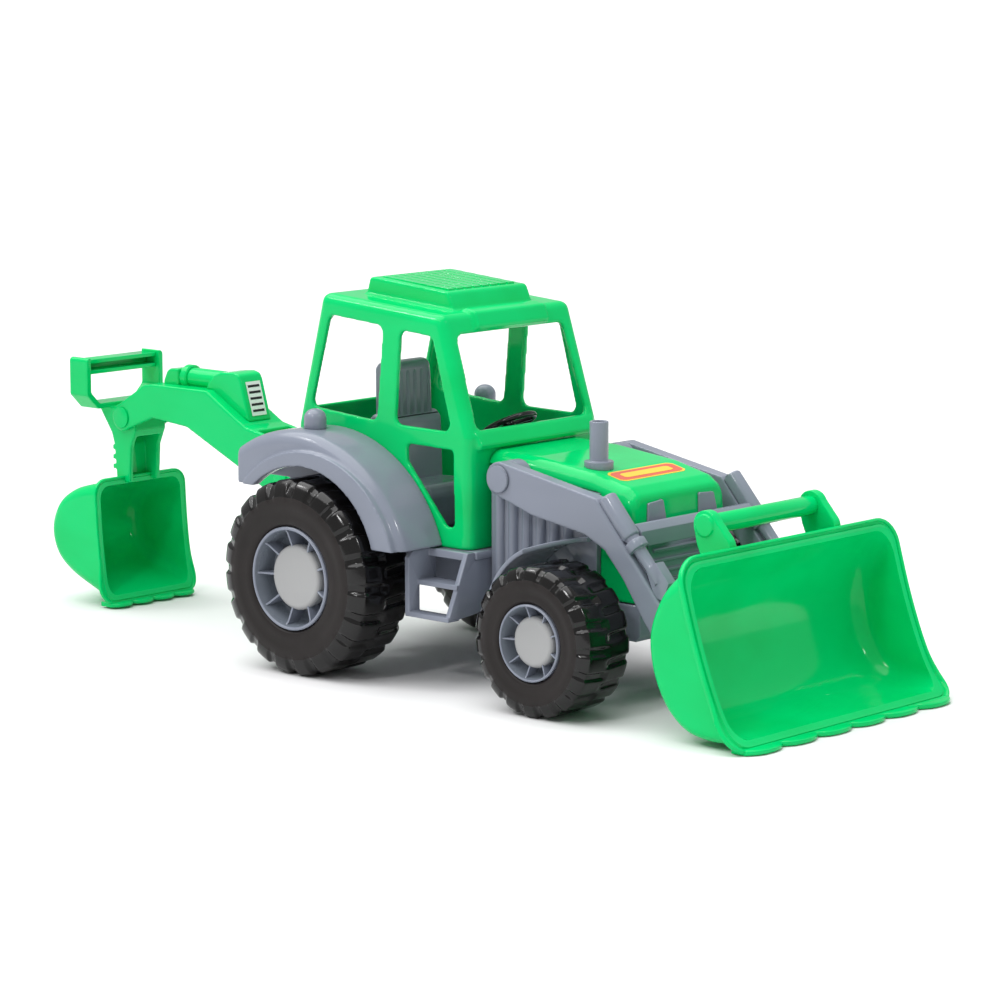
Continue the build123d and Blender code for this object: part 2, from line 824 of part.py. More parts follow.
with BuildPart() as exhaust_stack:
    extrude(disc_view(stack_place, stack_base_radius, 108.0), amount=8.4)
    extrude(disc_view(stack_place, stack_radius, 116.0), amount=stack_top - 116)
    fillet(exhaust_stack.faces().sort_by(Axis.Z)[-1].edges(), radius=0.6)
    extrude(
        disc_view(stack_place, stack_radius - 1.4, stack_top - 5),
        amount=6,
        mode=Mode.SUBTRACT,
    )
    extrude(side_view(hood_outline), amount=hood_half_width, both=True, mode=Mode.SUBTRACT)
    under_hood = [(120, 80), (160, 80), (160, 108.5), (120, 108.5)]
    extrude(side_view(under_hood), amount=hood_half_width, both=True, mode=Mode.SUBTRACT)
save(exhaust_stack.part, "exhaust_stack")

# ---------------------------------------------------------------- driver's place
seat_half_width = 20.0
column_foot = (70.0, 117.0)
column_lean = 28.0
wheel_rim_radius = 13.5
wheel_tube_radius = 1.5
dash_top = 118.0

with BuildPart() as seat:
    cushion = [(-10.0, deck_top), (26.0, deck_top), (30.0, 88.0), (26.0, 92.0), (-10.0, 92.0)]
    extrude(side_view(cushion, rounding=2.0), amount=seat_half_width, both=True)
    back_rest = [(-14.0, 80.0), (2.0, 80.0), (-1.0, 150.0), (-7.0, 153.0), (-15.0, 150.0)]
    extrude(side_view(back_rest, rounding=2.0), amount=seat_half_width, both=True)
    # Upright flutes on the front of the back rest.
    for flute in range(-2, 3):
        with BuildSketch(Plane.XY.offset(92)):
            with Locations((1.6, flute * 7.2)):
                Circle(2.2)
        extrude(amount=70, mode=Mode.SUBTRACT)
save(seat.part, "seat")

column_axis_plane = Plane(
    origin=(column_foot[0], 0, column_foot[1]),
    x_dir=(0, 1, 0),
    z_dir=(-sin(radians(column_lean)), 0, cos(radians(column_lean))),
)

with BuildPart() as dashboard:
    dash = [(58.0, deck_top), (80.2, deck_top), (80.2, 108.0), (76.0, dash_top), (62.0, dash_top - 4)]
    extrude(side_view(dash, rounding=2.5), amount=26.0, both=True)
    with BuildSketch(column_axis_plane):
        Circle(link_pin_radius + 1.5)
    extrude(amount=-12)
    with BuildSketch(column_axis_plane):
        Circle(link_pin_radius - 1 + running_clearance)
    extrude(amount=-10, mode=Mode.SUBTRACT)
save(dashboard.part, "dashboard")

with BuildPart() as steering_wheel:
    with BuildSketch(column_axis_plane.offset(-9.5)):
        Circle(link_pin_radius - 1)
    extrude(amount=9.5 + 8)
    with BuildSketch(column_axis_plane.offset(0.6)):
        Circle(link_pin_radius)
    extrude(amount=7.4)
    with BuildSketch(column_axis_plane.offset(8)):
        Circle(3.4)
        with PolarLocations(wheel_rim_radius / 2, 3, start_angle=90):
            Rectangle(wheel_rim_radius, 2.4)
    extrude(amount=2.0)
    rim_section = Plane(
        origin=column_axis_plane.offset(9.2).origin,
        x_dir=(0, 1, 0),
        z_dir=(cos(radians(column_lean)), 0, sin(radians(column_lean))),
    )
    with BuildSketch(rim_section):
        with Locations((wheel_rim_radius, 0)):
            Circle(wheel_tube_radius)
    revolve(axis=Axis(column_axis_plane.origin, column_axis_plane.z_dir))
save(steering_wheel.part, "steering_wheel")

# ---------------------------------------------------------------- loader arms
arm_bend_top = (168.0, 103.8)
top_start, _ = link_ends(arm_pivot, arm_pivot_radius, arm_bend_top, 0, 1)
_, eye_top = link_ends(arm_bend_top, 0, bucket_pivot, bucket_eye_radius, 1)
eye_bottom = (2 * bucket_pivot[0] - eye_top[0], 2 * bucket_pivot[1] - eye_top[1])
arm_outline = [
    top_start,
    arm_bend_top,
    eye_top,
    eye_bottom,
    (196.3, 49.6),
    (184.6, 66.6),
    (173.0, 79.4),
    (160.3, 85.5),
    (125.8, 91.4),
    (103.0, 98.8),
]

with BuildPart() as loader_arm:
    extrude(side_view(arm_outline, -arm_inner), amount=arm_outer - arm_inner)
    extrude(side_disc(arm_pivot, arm_pivot_radius, -arm_inner), amount=arm_outer - arm_inner)
    extrude(side_disc(bucket_pivot, bucket_eye_radius, -arm_inner), amount=arm_outer - arm_inner)
    extrude(
        side_disc(arm_pivot, arm_pin_radius + running_clearance, -arm_inner),
        amount=arm_outer - arm_inner,
        mode=Mode.SUBTRACT,
    )
    extrude(
        side_disc(bucket_pivot, bucket_pin_radius + running_clearance, -arm_inner),
        amount=arm_outer - arm_inner,
        mode=Mode.SUBTRACT,
    )
save_pair(loader_arm.part, "loader_arm")

crossbar_outline = [(184.2, 82.0), (189.8, 81.6), (189.8, 89.2), (186.6, 92.4), (184.2, 92.4)]

with BuildPart() as loader_crossbar:
    extrude(side_view(crossbar_outline, rounding=0.6), amount=arm_inner, both=True)
save(loader_crossbar.part, "loader_crossbar")

# Imitation lift cylinder: barrel, collar, rod and clevis along the arm's front edge.
cylinder_y = -(arm_inner + arm_outer) / 2
barrel_start = (171.4, 104.6)
rod_end = (205.0, 66.5)
cylinder_run = (rod_end[0] - barrel_start[0], rod_end[1] - barrel_start[1])
cylinder_length = (cylinder_run[0] ** 2 + cylinder_run[1] ** 2) ** 0.5
cylinder_plane = Plane(
    origin=(barrel_start[0], cylinder_y, barrel_start[1]),
    x_dir=(0, 1, 0),
    z_dir=(cylinder_run[0] / cylinder_length, 0, cylinder_run[1] / cylinder_length),
)
barrel_length = 24.0

with BuildPart() as lift_cylinder:
    with BuildSketch(cylinder_plane):
        Circle(4.6)
    extrude(amount=barrel_length)
    chamfer(lift_cylinder.edges(), length=0.8)
    with BuildSketch(cylinder_plane.offset(barrel_length)):
        Circle(3.6)
    extrude(amount=4.0)
    with BuildSketch(cylinder_plane.offset(barrel_length + 2.4)):
        Circle(5.4)
    extrude(amount=4.6)
    with BuildSketch(cylinder_plane.offset(barrel_length + 6)):
        Circle(3.2)
    extrude(amount=cylinder_length - barrel_length - 6)
    clevis = [(198.6, 71.6), (204.4, 77.0), (212.4, 67.6), (209.0, 58.6), (204.0, 60.0)]
    extrude(side_view(clevis, -arm_inner - 1.0), amount=arm_outer - arm_inner - 2.0)
    # It is moulded onto the arm and stays outside the crossbar.
    extrude(side_view(arm_outline, -arm_inner + 3), amount=14.0, mode=Mode.SUBTRACT)
    inner_side = [(160, 50), (220, 50), (220, 120), (160, 120)]
    extrude(side_view(inner_side, -arm_inner + 6), amount=6, mode=Mode.SUBTRACT)
save_pair(lift_cylinder.part, "lift_cylinder")

# ---------------------------------------------------------------- front bucket
bucket_top = (244.5, 84.5)
bucket_back_high = (234.0, 73.5)
bucket_back_middle = (224.2, 47.0)
bucket_back_low = (238.0, 9.5)
bucket_heel = (256.0, 0.0)
bucket_lip = (284.5, 0.0)
bucket_mouth_middle = (260.0, 29.0)
lug_width = 4.0
lug_inner = arm_inner - body_gap
lug_outer = arm_outer + body_gap
lug_tops = (-lug_outer, -lug_inner + lug_width, lug_inner, lug_outer + lug_width)
lug_outline = [(212.0, 45.6), (228.0, 50.0), (229.5, 24.5), (212.0, 32.4)]


def front_bucket_outline(y, inset=0.0):
    """Side outline of the loader bucket, optionally drawn in by the wall thickness."""
    with BuildSketch(Plane.XZ.offset(-y)) as outline:
        with BuildLine():
            Line(bucket_top, bucket_back_high)
            ThreePointArc(bucket_back_high, bucket_back_middle, bucket_back_low)
            ThreePointArc(bucket_back_low, (246.4, 3.2), bucket_heel)
            if inset > 0:
                mouth_top = (bucket_top[0] + 30, bucket_top[1] + 26)
                Polyline(bucket_heel, (bucket_lip[0] + 30, 0), mouth_top, bucket_top)
            else:
                Line(bucket_heel, bucket_lip)
                ThreePointArc(bucket_lip, bucket_mouth_middle, bucket_top)
        make_face()
        fillet(outline.vertices().filter_by(lambda v: v.X < 250 and v.Y < 80), radius=8.0)
        if inset > 0:
            offset(amount=-inset, kind=Kind.INTERSECTION)
    return outline.sketch


def mouth_strip(y):
    """Strip that follows the mouth's curved edge."""
    back_lip = (bucket_lip[0] - rim_band, 0.0)
    back_middle = (bucket_mouth_middle[0] - rim_band * 0.8, bucket_mouth_middle[1] - 3)
    back_top = (bucket_top[0] - rim_band, bucket_top[1] - rim_band)
    with BuildSketch(Plane.XZ.offset(-y)) as strip:
        with BuildLine():
            ThreePointArc(bucket_lip, bucket_mouth_middle, bucket_top)
            Line(bucket_top, back_top)
            ThreePointArc(back_top, back_middle, back_lip)
            Line(back_lip, bucket_lip)
        make_face()
    return strip.sketch


tooth_count = 6
tooth_pitch = 28.0
tooth_radius = 13.6
tooth_centre_x = 274.6
tooth_thickness = 2.6

with BuildPart() as front_bucket:
    extrude(front_bucket_outline(0), amount=front_bucket_half_width, both=True)
    extrude(
        front_bucket_outline(0, front_bucket_wall),
        amount=front_bucket_half_width - front_bucket_wall,
        both=True,
        mode=Mode.SUBTRACT,
    )
    for strip_y in (-front_bucket_half_width, front_bucket_half_width + rim_proud):
        extrude(mouth_strip(strip_y), amount=rim_proud)
    # The rim turns over along the top edge.
    top_band = [(239.7, 77.3), (237.2, 80.6), (243.6, 87.2), (246.2, 85.4), (245.6, 83.5)]
    extrude(side_view(top_band), amount=front_bucket_half_width + rim_proud, both=True)
    # Rounded teeth along the cutting edge.
    with BuildSketch(Plane.XY):
        for tooth in range(tooth_count):
            tooth_y = (tooth - (tooth_count - 1) / 2) * tooth_pitch
            with Locations((tooth_centre_x, tooth_y)):
                Circle(tooth_radius)
    extrude(amount=tooth_thickness)
    # Lugs on the back straddle the loader arms.
    for lug_top in lug_tops:
        extrude(side_disc(bucket_pivot, 6.8, lug_top), amount=lug_width)
        extrude(side_view(lug_outline, lug_top), amount=lug_width)
    extrude(
        front_bucket_outline(0, front_bucket_wall),
        amount=front_bucket_half_width - front_bucket_wall,
        both=True,
        mode=Mode.SUBTRACT,
    )
    extrude(side_disc(bucket_pivot, bucket_pin_radius), amount=70, both=True, mode=Mode.SUBTRACT)
save(front_bucket.part, "front_bucket")

with BuildPart() as bucket_pins:
    pin_length = lug_outer - lug_inner + 2 * lug_width
    for pin_top in (-lug_inner + lug_width, lug_outer + lug_width):
        extrude(side_disc(bucket_pivot, bucket_pin_radius, pin_top), amount=pin_length)
    for head_top in (-lug_outer - lug_width, lug_outer + lug_width + 1.5):
        extrude(side_disc(bucket_pivot, 4.2, head_top), amount=1.5)
save(bucket_pins.part, "bucket_pins")

handle_place = (228.0, 96.5)
bracket_outline = [
    (220.9, 96.0),
    (223.0, 87.0),
    (229.0, 74.0),
    (237.0, 73.5),
    (244.0, 82.0),
    (243.2, 88.5),
    (242.6, 90.5),
    (234.6, 99.5),
]
bracket_outer = 43.4
bracket_width = 5.0
handle_radius = 4.8

with BuildPart() as bucket_bracket:
    extrude(side_view(bracket_outline, -bracket_outer + bracket_width), amount=bracket_width)
    extrude(
        side_disc(handle_place, 7.2, -bracket_outer + bracket_width), amount=bracket_width
    )
    extrude(side_disc(handle_place, 5.2, -bracket_outer), amount=1.0)
    extrude(front_bucket_outline(0), amount=60, both=True, mode=Mode.SUBTRACT)
    extrude(
        front_bucket_outline(0, front_bucket_wall), amount=60, both=True, mode=Mode.SUBTRACT
    )
    extrude(side_view(top_band), amount=60, both=True, mode=Mode.SUBTRACT)
save_pair(bucket_bracket.part, "bucket_bracket")

with BuildPart() as bucket_handle_bar:
    extrude(
        side_disc(handle_place, handle_radius),
        amount=bracket_outer - bracket_width,
        both=True,
    )
save(bucket_handle_bar.part, "bucket_handle_bar")

# ---------------------------------------------------------------- backhoe mounting
ear_radius = 9.0
ear_levels = ((57.0, 4.5), (94.5, 4.5))
barrel_bottom = 61.8
barrel_top = 94.2
swing_place = (swing_axis_x, 0.0)

with BuildPart() as rear_hitch:
    plate_points = [
        (deck_rear - 4, 50.0),
        (deck_rear, 50.0),
        (deck_rear, 101.0),
        (deck_rear - 4, 101.0),
    ]
    extrude(side_view(plate_points), amount=18, both=True)
    for level, thickness in ear_levels:
        with BuildSketch(Plane.XY.offset(level)):
            with Locations(swing_place):
                Circle(ear_radius)
            with Locations(((swing_axis_x + deck_rear - 2) / 2, 0)):
                Rectangle(deck_rear - 2 - swing_axis_x, 2 * ear_radius)
        extrude(amount=thickness)
    # Gussets brace the ears against the plate.
    for gusset_y in (ear_radius, -ear_radius + 2.5):
        gusset = [(deck_rear - 3, 50.0), (deck_rear - 18, 57.5), (deck_rear - 3, 57.5)]
        extrude(side_view(gusset, gusset_y), amount=2.5)
    extrude(disc_view(swing_place, swing_pin_radius, 50), amount=60, mode=Mode.SUBTRACT)
save(rear_hitch.part, "rear_hitch")

with BuildPart() as swing_pin:
    extrude(disc_view(swing_place, swing_pin_radius, 55.5), amount=99.0 - 55.5)
    extrude(disc_view(swing_place, 5.2, 99.0), amount=2.4)
    fillet(swing_pin.faces().sort_by(Axis.Z)[-1].edges(), radius=1.2)
save(swing_pin.part, "swing_pin")

tongue_outline = [
    (boom_foot[0] - 2, boom_foot[1] - 8.4),
    (swing_axis_x, barrel_bottom + 3),
    (swing_axis_x, barrel_top - 3),
    (boom_foot[0] + 2, boom_foot[1] + 8.2),
]

with BuildPart() as swivel_block:
    extrude(side_view(tongue_outline), amount=8.0, both=True)
    extrude(side_disc(boom_foot, 8.5), amount=tongue_half_width, both=True)
    extrude(disc_view(swing_place, ear_radius, barrel_bottom), amount=barrel_top - barrel_bottom)
    extrude(
        disc_view(swing_place, swing_pin_radius + running_clearance, 50),
        amount=60,
        mode=Mode.SUBTRACT,
    )
    extrude(
        side_disc(boom_foot, link_pin_radius + running_clearance),
        amount=30,
        both=True,
        mode=Mode.SUBTRACT,
    )
save(swivel_block.part, "swivel_block")

# ---------------------------------------------------------------- boom
boom_outline = [
    (-212.4, 111.6),
    (-190.1, 124.8),
    (-184.0, 125.5),
    (-141.5, 125.6),
    (-112.0, 108.8),
    (-98.0, 106.0),
    (-78.0, 89.2),
    (-80.0, 73.6),
    (-90.5, 74.9),
    (-99.4, 77.6),
    (-112.5, 84.5),
    (-156.9, 104.3),
    (-184.4, 106.8),
    (-203.0, 99.6),
]
boom_slot = [
    (-215.0, 104.0),
    (-203.0, 113.5),
    (-189.4, 121.6),
    (-183.8, 122.5),
    (-142.3, 122.6),
    (-112.0, 105.2),
    (-103.0, 103.4),
    (-103.0, 60.0),
    (-240.0, 60.0),
    (-240.0, 104.0),
]

with BuildPart() as boom:
    extrude(side_view(boom_outline), amount=boom_half_width, both=True)
    extrude(side_disc(boom_foot, boom_foot_radius), amount=boom_half_width, both=True)
    extrude(side_disc(boom_tip, boom_tip_radius), amount=boom_half_width, both=True)
    # Hollow from below; only the two side walls reach the foot and the tip.
    extrude(
        side_view(boom_slot),
        amount=boom_half_width - boom_wall,
        both=True,
        mode=Mode.SUBTRACT,
    )
    foot_slot = [(-104.0, 50.0), (-60.0, 50.0), (-60.0, 120.0), (-104.0, 120.0)]
    extrude(
        side_view(foot_slot),
        amount=boom_half_width - boom_wall,
        both=True,
        mode=Mode.SUBTRACT,
    )
    tip_slot = [(-230.0, 90.0), (-204.0, 90.0), (-204.0, 130.0), (-230.0, 130.0)]
    extrude(
        side_view(tip_slot),
        amount=boom_half_width - boom_wall,
        both=True,
        mode=Mode.SUBTRACT,
    )
    # Stiffening ribs inside the channel.
    for rib_x in (-168.0, -146.0):
        rib = [(rib_x, 108.5), (rib_x + 2.5, 108.5), (rib_x + 2.5, 123.5), (rib_x, 123.5)]
        extrude(side_view(rib), amount=boom_half_width - boom_wall, both=True)
    for pivot in (boom_foot, boom_tip):
        extrude(side_disc(pivot, link_pin_radius), amount=30, both=True, mode=Mode.SUBTRACT)
save(boom.part, "boom")

for pin_name, pivot, cap_radius in (
    ("boom_foot_pin", boom_foot, 5.0),
    ("dipper_pin", boom_tip, 5.8),
):
    with BuildPart() as link_pin:
        extrude(side_disc(pivot, link_pin_radius), amount=boom_half_width, both=True)
        for cap_top in (-boom_half_width, boom_half_width + 1.0):
            extrude(side_disc(pivot, cap_radius, cap_top), amount=1.0)
    save(link_pin.part, pin_name)

# Imitation cylinder and its wedge-shaped housing on top of the boom.
with BuildPart() as boom_cylinder:
    barrel_plane = Plane(origin=(-172.0, 0, 129.6), x_dir=(0, 1, 0), z_dir=(1, 0, 0))
    with BuildSketch(barrel_plane):
        Circle(5.6)
    extrude(amount=36.0)
    with BuildSketch(barrel_plane.offset(1.5)):
        Circle(7.0)
    extrude(amount=5.0)
    fillet(boom_cylinder.edges().filter_by(GeomType.CIRCLE), radius=0.6)
    yoke = [(-185.0, 124.0), (-180.0, 133.8), (-171.6, 134.8), (-171.6, 124.0)]
    extrude(side_view(yoke, rounding=1.0), amount=6.4, both=True)
    housing = [(-149.0, 124.0), (-141.0, 134.2), (-125.0, 136.2), (-121.4, 134.6), (-113.0, 107.0)]
    extrude(side_view(housing, rounding=1.2), amount=8.6, both=True)
    extrude(side_view(boom_outline), amount=boom_half_width, both=True, mode=Mode.SUBTRACT)
    below_boom = [(-190.0, 122.0), (-143.0, 122.0), (-110.0, 103.0), (-110.0, 90.0), (-190.0, 90.0)]
    extrude(side_view(below_boom), amount=boom_half_width, both=True, mode=Mode.SUBTRACT)
save(boom_cylinder.part, "boom_cylinder")

# ---------------------------------------------------------------- dipper
dipper_outline = [
    (-231.0, 109.0),
    (-221.5, 109.0),
    (-214.0, 111.5),
    (-203.0, 109.6),
    (-201.6, 97.6),
    (-205.8, 88.0),
    (-207.0, 68.0),
    (-217.2, 68.0),
    (-218.8, 88.0),
    (-221.0, 95.0),
]
dipper_hollow = [
    (-221.0, 99.0),
    (-215.8, 88.0),
    (-214.2, 60.0),
    (-190.0, 60.0),
    (-190.0, 94.0),
    (-212.0, 94.0),
]
handle_half_width = 28.5
handle_skin = 3.0
handle_rear = -236.0
handle_front = -221.4
handle_floor = 109.0
handle_top = 137.8

with BuildPart() as dipper:
    extrude(side_view(dipper_outline), amount=tongue_half_width, both=True)
    extrude(side_view(dipper_hollow), amount=tongue_half_width - 3, both=True, mode=Mode.SUBTRACT)
    # Three small teeth on the rear edge.
    for tooth in range(3):
        tooth_z = 75.0 + 5.4 * tooth
        tooth_points = [
            (-217.6, tooth_z),
            (-220.4, tooth_z),
            (-220.4, tooth_z + 2.6),
            (-217.6, tooth_z + 2.6),
        ]
        extrude(side_view(tooth_points), amount=tongue_half_width, both=True)
    # Stirrup-shaped handle frame.
    stirrup = [
        (-handle_half_width, handle_top),
        (-handle_half_width, handle_floor + 8),
        (-handle_half_width + 8, handle_floor),
        (handle_half_width - 8, handle_floor),
        (handle_half_width, handle_floor + 8),
        (handle_half_width, handle_top),
    ]
    extrude(front_view(stirrup, handle_rear, 2.0), amount=handle_front - handle_rear)
    inner_half = handle_half_width - handle_skin
    stirrup_hollow = [
        (-inner_half, handle_top + 5),
        (-inner_half, handle_floor + handle_skin + 6.6),
        (-inner_half + 6.6, handle_floor + handle_skin),
        (inner_half - 6.6, handle_floor + handle_skin),
        (inner_half, handle_floor + handle_skin + 6.6),
        (inner_half, handle_top + 5),
    ]
    extrude(
        front_view(stirrup_hollow, handle_rear - 1, 2.0),
        amount=handle_front - handle_rear + 2,
        mode=Mode.SUBTRACT,
    )
    extrude(
        side_disc(boom_tip, link_pin_radius + running_clearance),
        amount=30,
        both=True,
        mode=Mode.SUBTRACT,
    )
save(dipper.part, "dipper")

with BuildPart() as dipper_grip:
    grip_points = [
        (-234.6, 128.4),
        (-224.0, 128.4),
        (-224.0, 130.6),
        (-232.2, 130.6),
        (-232.2, 134.4),
        (-224.0, 134.4),
        (-224.0, 136.6),
        (-234.6, 136.6),
    ]
    extrude(side_view(grip_points), amount=handle_half_width - handle_skin, both=True)
save(dipper_grip.part, "dipper_grip")

# ---------------------------------------------------------------- rear bucket
scoop_top = (-211.0, 70.8)
scoop_shoulder = (-220.2, 67.6)
scoop_back_high = (-238.0, 61.6)
scoop_back_middle = (-252.4, 41.0)
scoop_back_low = (-243.8, 21.0)
scoop_heel = (-214.0, 5.4)
scoop_lip = (-199.6, 0.8)
scoop_mouth_middle = (-208.6, 32.0)


def rear_bucket_outline(inset=0.0):
    """Side outline of the rear bucket, optionally drawn in by the wall thickness."""
    with BuildSketch(Plane.XZ) as outline:
        with BuildLine():
            Polyline(scoop_top, scoop_shoulder, scoop_back_high)
            ThreePointArc(scoop_back_high, scoop_back_middle, scoop_back_low)
            Polyline(scoop_back_low, scoop_heel, scoop_lip)
            if inset > 0:
                far_lip = (scoop_lip[0] + 20, scoop_lip[1] - 6.4)
                far_top = (scoop_top[0] + 20, scoop_top[1] + 7.0)
                Polyline(scoop_lip, far_lip, far_top, scoop_top)
            else:
                ThreePointArc(scoop_lip, scoop_mouth_middle, scoop_top)
        make_face()
        fillet(outline.vertices().filter_by(lambda v: v.X < -212), radius=6.0)
        if inset > 0:
            offset(amount=-inset, kind=Kind.INTERSECTION)
    return outline.sketch


with BuildPart() as rear_bucket:
    extrude(rear_bucket_outline(), amount=rear_bucket_half_width, both=True)
    back_edges = rear_bucket.edges().filter_by(
        lambda e: e.center().X < -210 and abs(e.center().Y) > rear_bucket_half_width - 1
    )
    fillet(back_edges, radius=5.0)
    extrude(
        rear_bucket_outline(rear_bucket_wall),
        amount=rear_bucket_half_width - rear_bucket_wall,
        both=True,
        mode=Mode.SUBTRACT,
    )
    # Proud rim round the mouth's sides.
    for strip_y in (-rear_bucket_half_width, rear_bucket_half_width + rear_rim_proud):
        with BuildSketch(Plane.XZ.offset(-strip_y)):
            with BuildLine():
                ThreePointArc(scoop_lip, scoop_mouth_middle, scoop_top)
                Line(scoop_top, (scoop_top[0] - 5, scoop_top[1] - 1.8))
                ThreePointArc(
                    (scoop_top[0] - 5, scoop_top[1] - 1.8),
                    (scoop_mouth_middle[0] - 5, scoop_mouth_middle[1]),
                    (scoop_lip[0] - 6, scoop_lip[1] + 2.0),
                )
                Line((scoop_lip[0] - 6, scoop_lip[1] + 2.0), scoop_lip)
            make_face()
        extrude(amount=rear_rim_proud)
    # Rounded teeth along the lip.
    with BuildSketch(Plane.XY.offset(scoop_lip[1])):
        for tooth in range(4):
            with Locations((-205.0, (tooth - 1.5) * 16.0)):
                Circle(8.2)
    extrude(amount=2.4)
    extrude(
        rear_bucket_outline(rear_bucket_wall),
        amount=rear_bucket_half_width - rear_bucket_wall,
        both=True,
        mode=Mode.SUBTRACT,
    )
    # The dipper's foot seats in the bucket's top wall.
    extrude(side_view(dipper_outline), amount=tongue_half_width, both=True, mode=Mode.SUBTRACT)
save(rear_bucket.part, "rear_bucket")
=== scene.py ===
"""Visual model of a toy backhoe loader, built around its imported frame.

Sizes are in metres. +X points forwards to the loader bucket, +Y to the driver's left and +Z up.
The origin lies on the floor, midway under the rear axle.
"""

import logging
import math
from dataclasses import dataclass, field
from enum import Enum
from typing import Iterable, Sequence

import bmesh
import bpy
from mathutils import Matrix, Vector
from mathutils.bvhtree import BVHTree


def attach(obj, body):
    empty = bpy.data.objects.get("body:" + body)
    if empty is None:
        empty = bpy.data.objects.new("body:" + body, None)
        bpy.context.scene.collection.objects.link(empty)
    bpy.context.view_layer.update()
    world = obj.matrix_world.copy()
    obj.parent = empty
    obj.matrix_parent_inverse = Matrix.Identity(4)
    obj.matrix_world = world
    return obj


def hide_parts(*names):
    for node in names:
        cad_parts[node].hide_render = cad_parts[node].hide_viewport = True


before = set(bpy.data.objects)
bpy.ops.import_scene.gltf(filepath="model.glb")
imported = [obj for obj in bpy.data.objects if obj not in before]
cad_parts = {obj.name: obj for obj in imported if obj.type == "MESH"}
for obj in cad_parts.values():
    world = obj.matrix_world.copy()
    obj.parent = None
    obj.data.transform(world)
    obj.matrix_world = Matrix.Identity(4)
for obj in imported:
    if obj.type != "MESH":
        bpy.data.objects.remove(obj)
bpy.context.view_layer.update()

log = logging.getLogger("toy_backhoe")

MM = 0.001
REAR_BEAD_RADIUS = 0.0264
Colour = tuple[float, float, float]
Point2 = tuple[float, float]


class Side(Enum):
    """The two sides of the toy, with the sign of Y on each."""

    LEFT = 1
    RIGHT = -1

    @property
    def word(self) -> str:
        """Side's name as it stands in the node names."""
        return self.name.lower()


class Slot(Enum):
    """Material slots of the record."""

    GREEN = "green_plastic"
    GREY = "grey_plastic"
    TYRE = "tyre_plastic"
    BLACK = "black_plastic"
    STEEL = "steel"


class End(Enum):
    """The two ends of the toy, as they stand in the node names."""

    REAR = "rear"
    FRONT = "front"


# ------------------------------------------------------------------------------ finishes
class NodeBoard:
    """A material's node tree with short calls to add and join nodes."""

    def __init__(self, name: str) -> None:
        """Start an empty board with a Principled shader joined to the output.

        Args:
            name: Name of the new material.
        """
        self.material = bpy.data.materials.new(name)
        self.material.use_nodes = True
        self.tree = self.material.node_tree
        self.tree.nodes.clear()
        output = self.tree.nodes.new("ShaderNodeOutputMaterial")
        self.shader = self.tree.nodes.new("ShaderNodeBsdfPrincipled")
        self.join(self.shader, "BSDF", output, "Surface")
        self.place = self.tree.nodes.new("ShaderNodeTexCoord")

    def join(
        self, source: bpy.types.Node, out: str | int, target: bpy.types.Node, into: str | int
    ) -> None:
        """Join one node's output to another's input."""
        self.tree.links.new(source.outputs[out], target.inputs[into])

    def noise(
        self, size: float, detail: float = 3.0, stretch: Sequence[float] = (1, 1, 1)
    ) -> bpy.types.Node:
        """Add a noise texture in the toy's own space.

        Args:
            size: Width of one blotch, in metres.
            detail: Octaves of finer noise.
            stretch: Relative length of a blotch along X, Y and Z.

        Returns:
            The noise node, whose first output is its value.
        """
        mapping = self.tree.nodes.new("ShaderNodeMapping")
        mapping.inputs["Scale"].default_value = [1.0 / (size * s) for s in stretch]
        noise = self.tree.nodes.new("ShaderNodeTexNoise")
        noise.inputs["Scale"].default_value = 1.0
        noise.inputs["Detail"].default_value = detail
        self.join(self.place, "Object", mapping, "Vector")
        self.join(mapping, "Vector", noise, "Vector")
        return noise

    def blend_colours(
        self, factor: bpy.types.Node, low: Colour, high: Colour, span: Point2
    ) -> bpy.types.Node:
        """Turn a value into a colour between two colours.

        Args:
            factor: Node whose first output drives the blend.
            low: Colour at and below the span's start.
            high: Colour at and above the span's end.
            span: Start and end of the blend.

        Returns:
            The colour ramp node.
        """
        ramp = self.tree.nodes.new("ShaderNodeValToRGB")
        ramp.color_ramp.elements[0].position = span[0]
        ramp.color_ramp.elements[1].position = span[1]
        ramp.color_ramp.elements[0].color = (*low, 1.0)
        ramp.color_ramp.elements[1].color = (*high, 1.0)
        self.join(factor, 0, ramp, "Fac")
        return ramp

    def spread(self, factor: bpy.types.Node, low: float, high: float) -> bpy.types.Node:
        """Rescale a noise value from its usual range to the given one.

        Args:
            factor: Node whose first output is the noise value.
            low: Result where the noise is weak.
            high: Result where the noise is strong.

        Returns:
            The map range node.
        """
        scale = self.tree.nodes.new("ShaderNodeMapRange")
        scale.inputs["From Min"].default_value = 0.3
        scale.inputs["From Max"].default_value = 0.7
        scale.inputs["To Min"].default_value = low
        scale.inputs["To Max"].default_value = high
        self.join(factor, 0, scale, "Value")
        return scale

    def bump(
        self, height: bpy.types.Node, depth: float, below: bpy.types.Node | None = None
    ) -> bpy.types.Node:
        """Add a bump, stacked on another bump where one is given.

        Args:
            height: Node whose first output is the height.
            depth: Depth of the bump, in metres.
            below: Bump node that this one is stacked on.

        Returns:
            The bump node.
        """
        bump = self.tree.nodes.new("ShaderNodeBump")
        bump.inputs["Strength"].default_value = 1.0
        bump.inputs["Distance"].default_value = depth
        self.join(height, 0, bump, "Height")
        if below is not None:
            self.join(below, "Normal", bump, "Normal")
        return bump


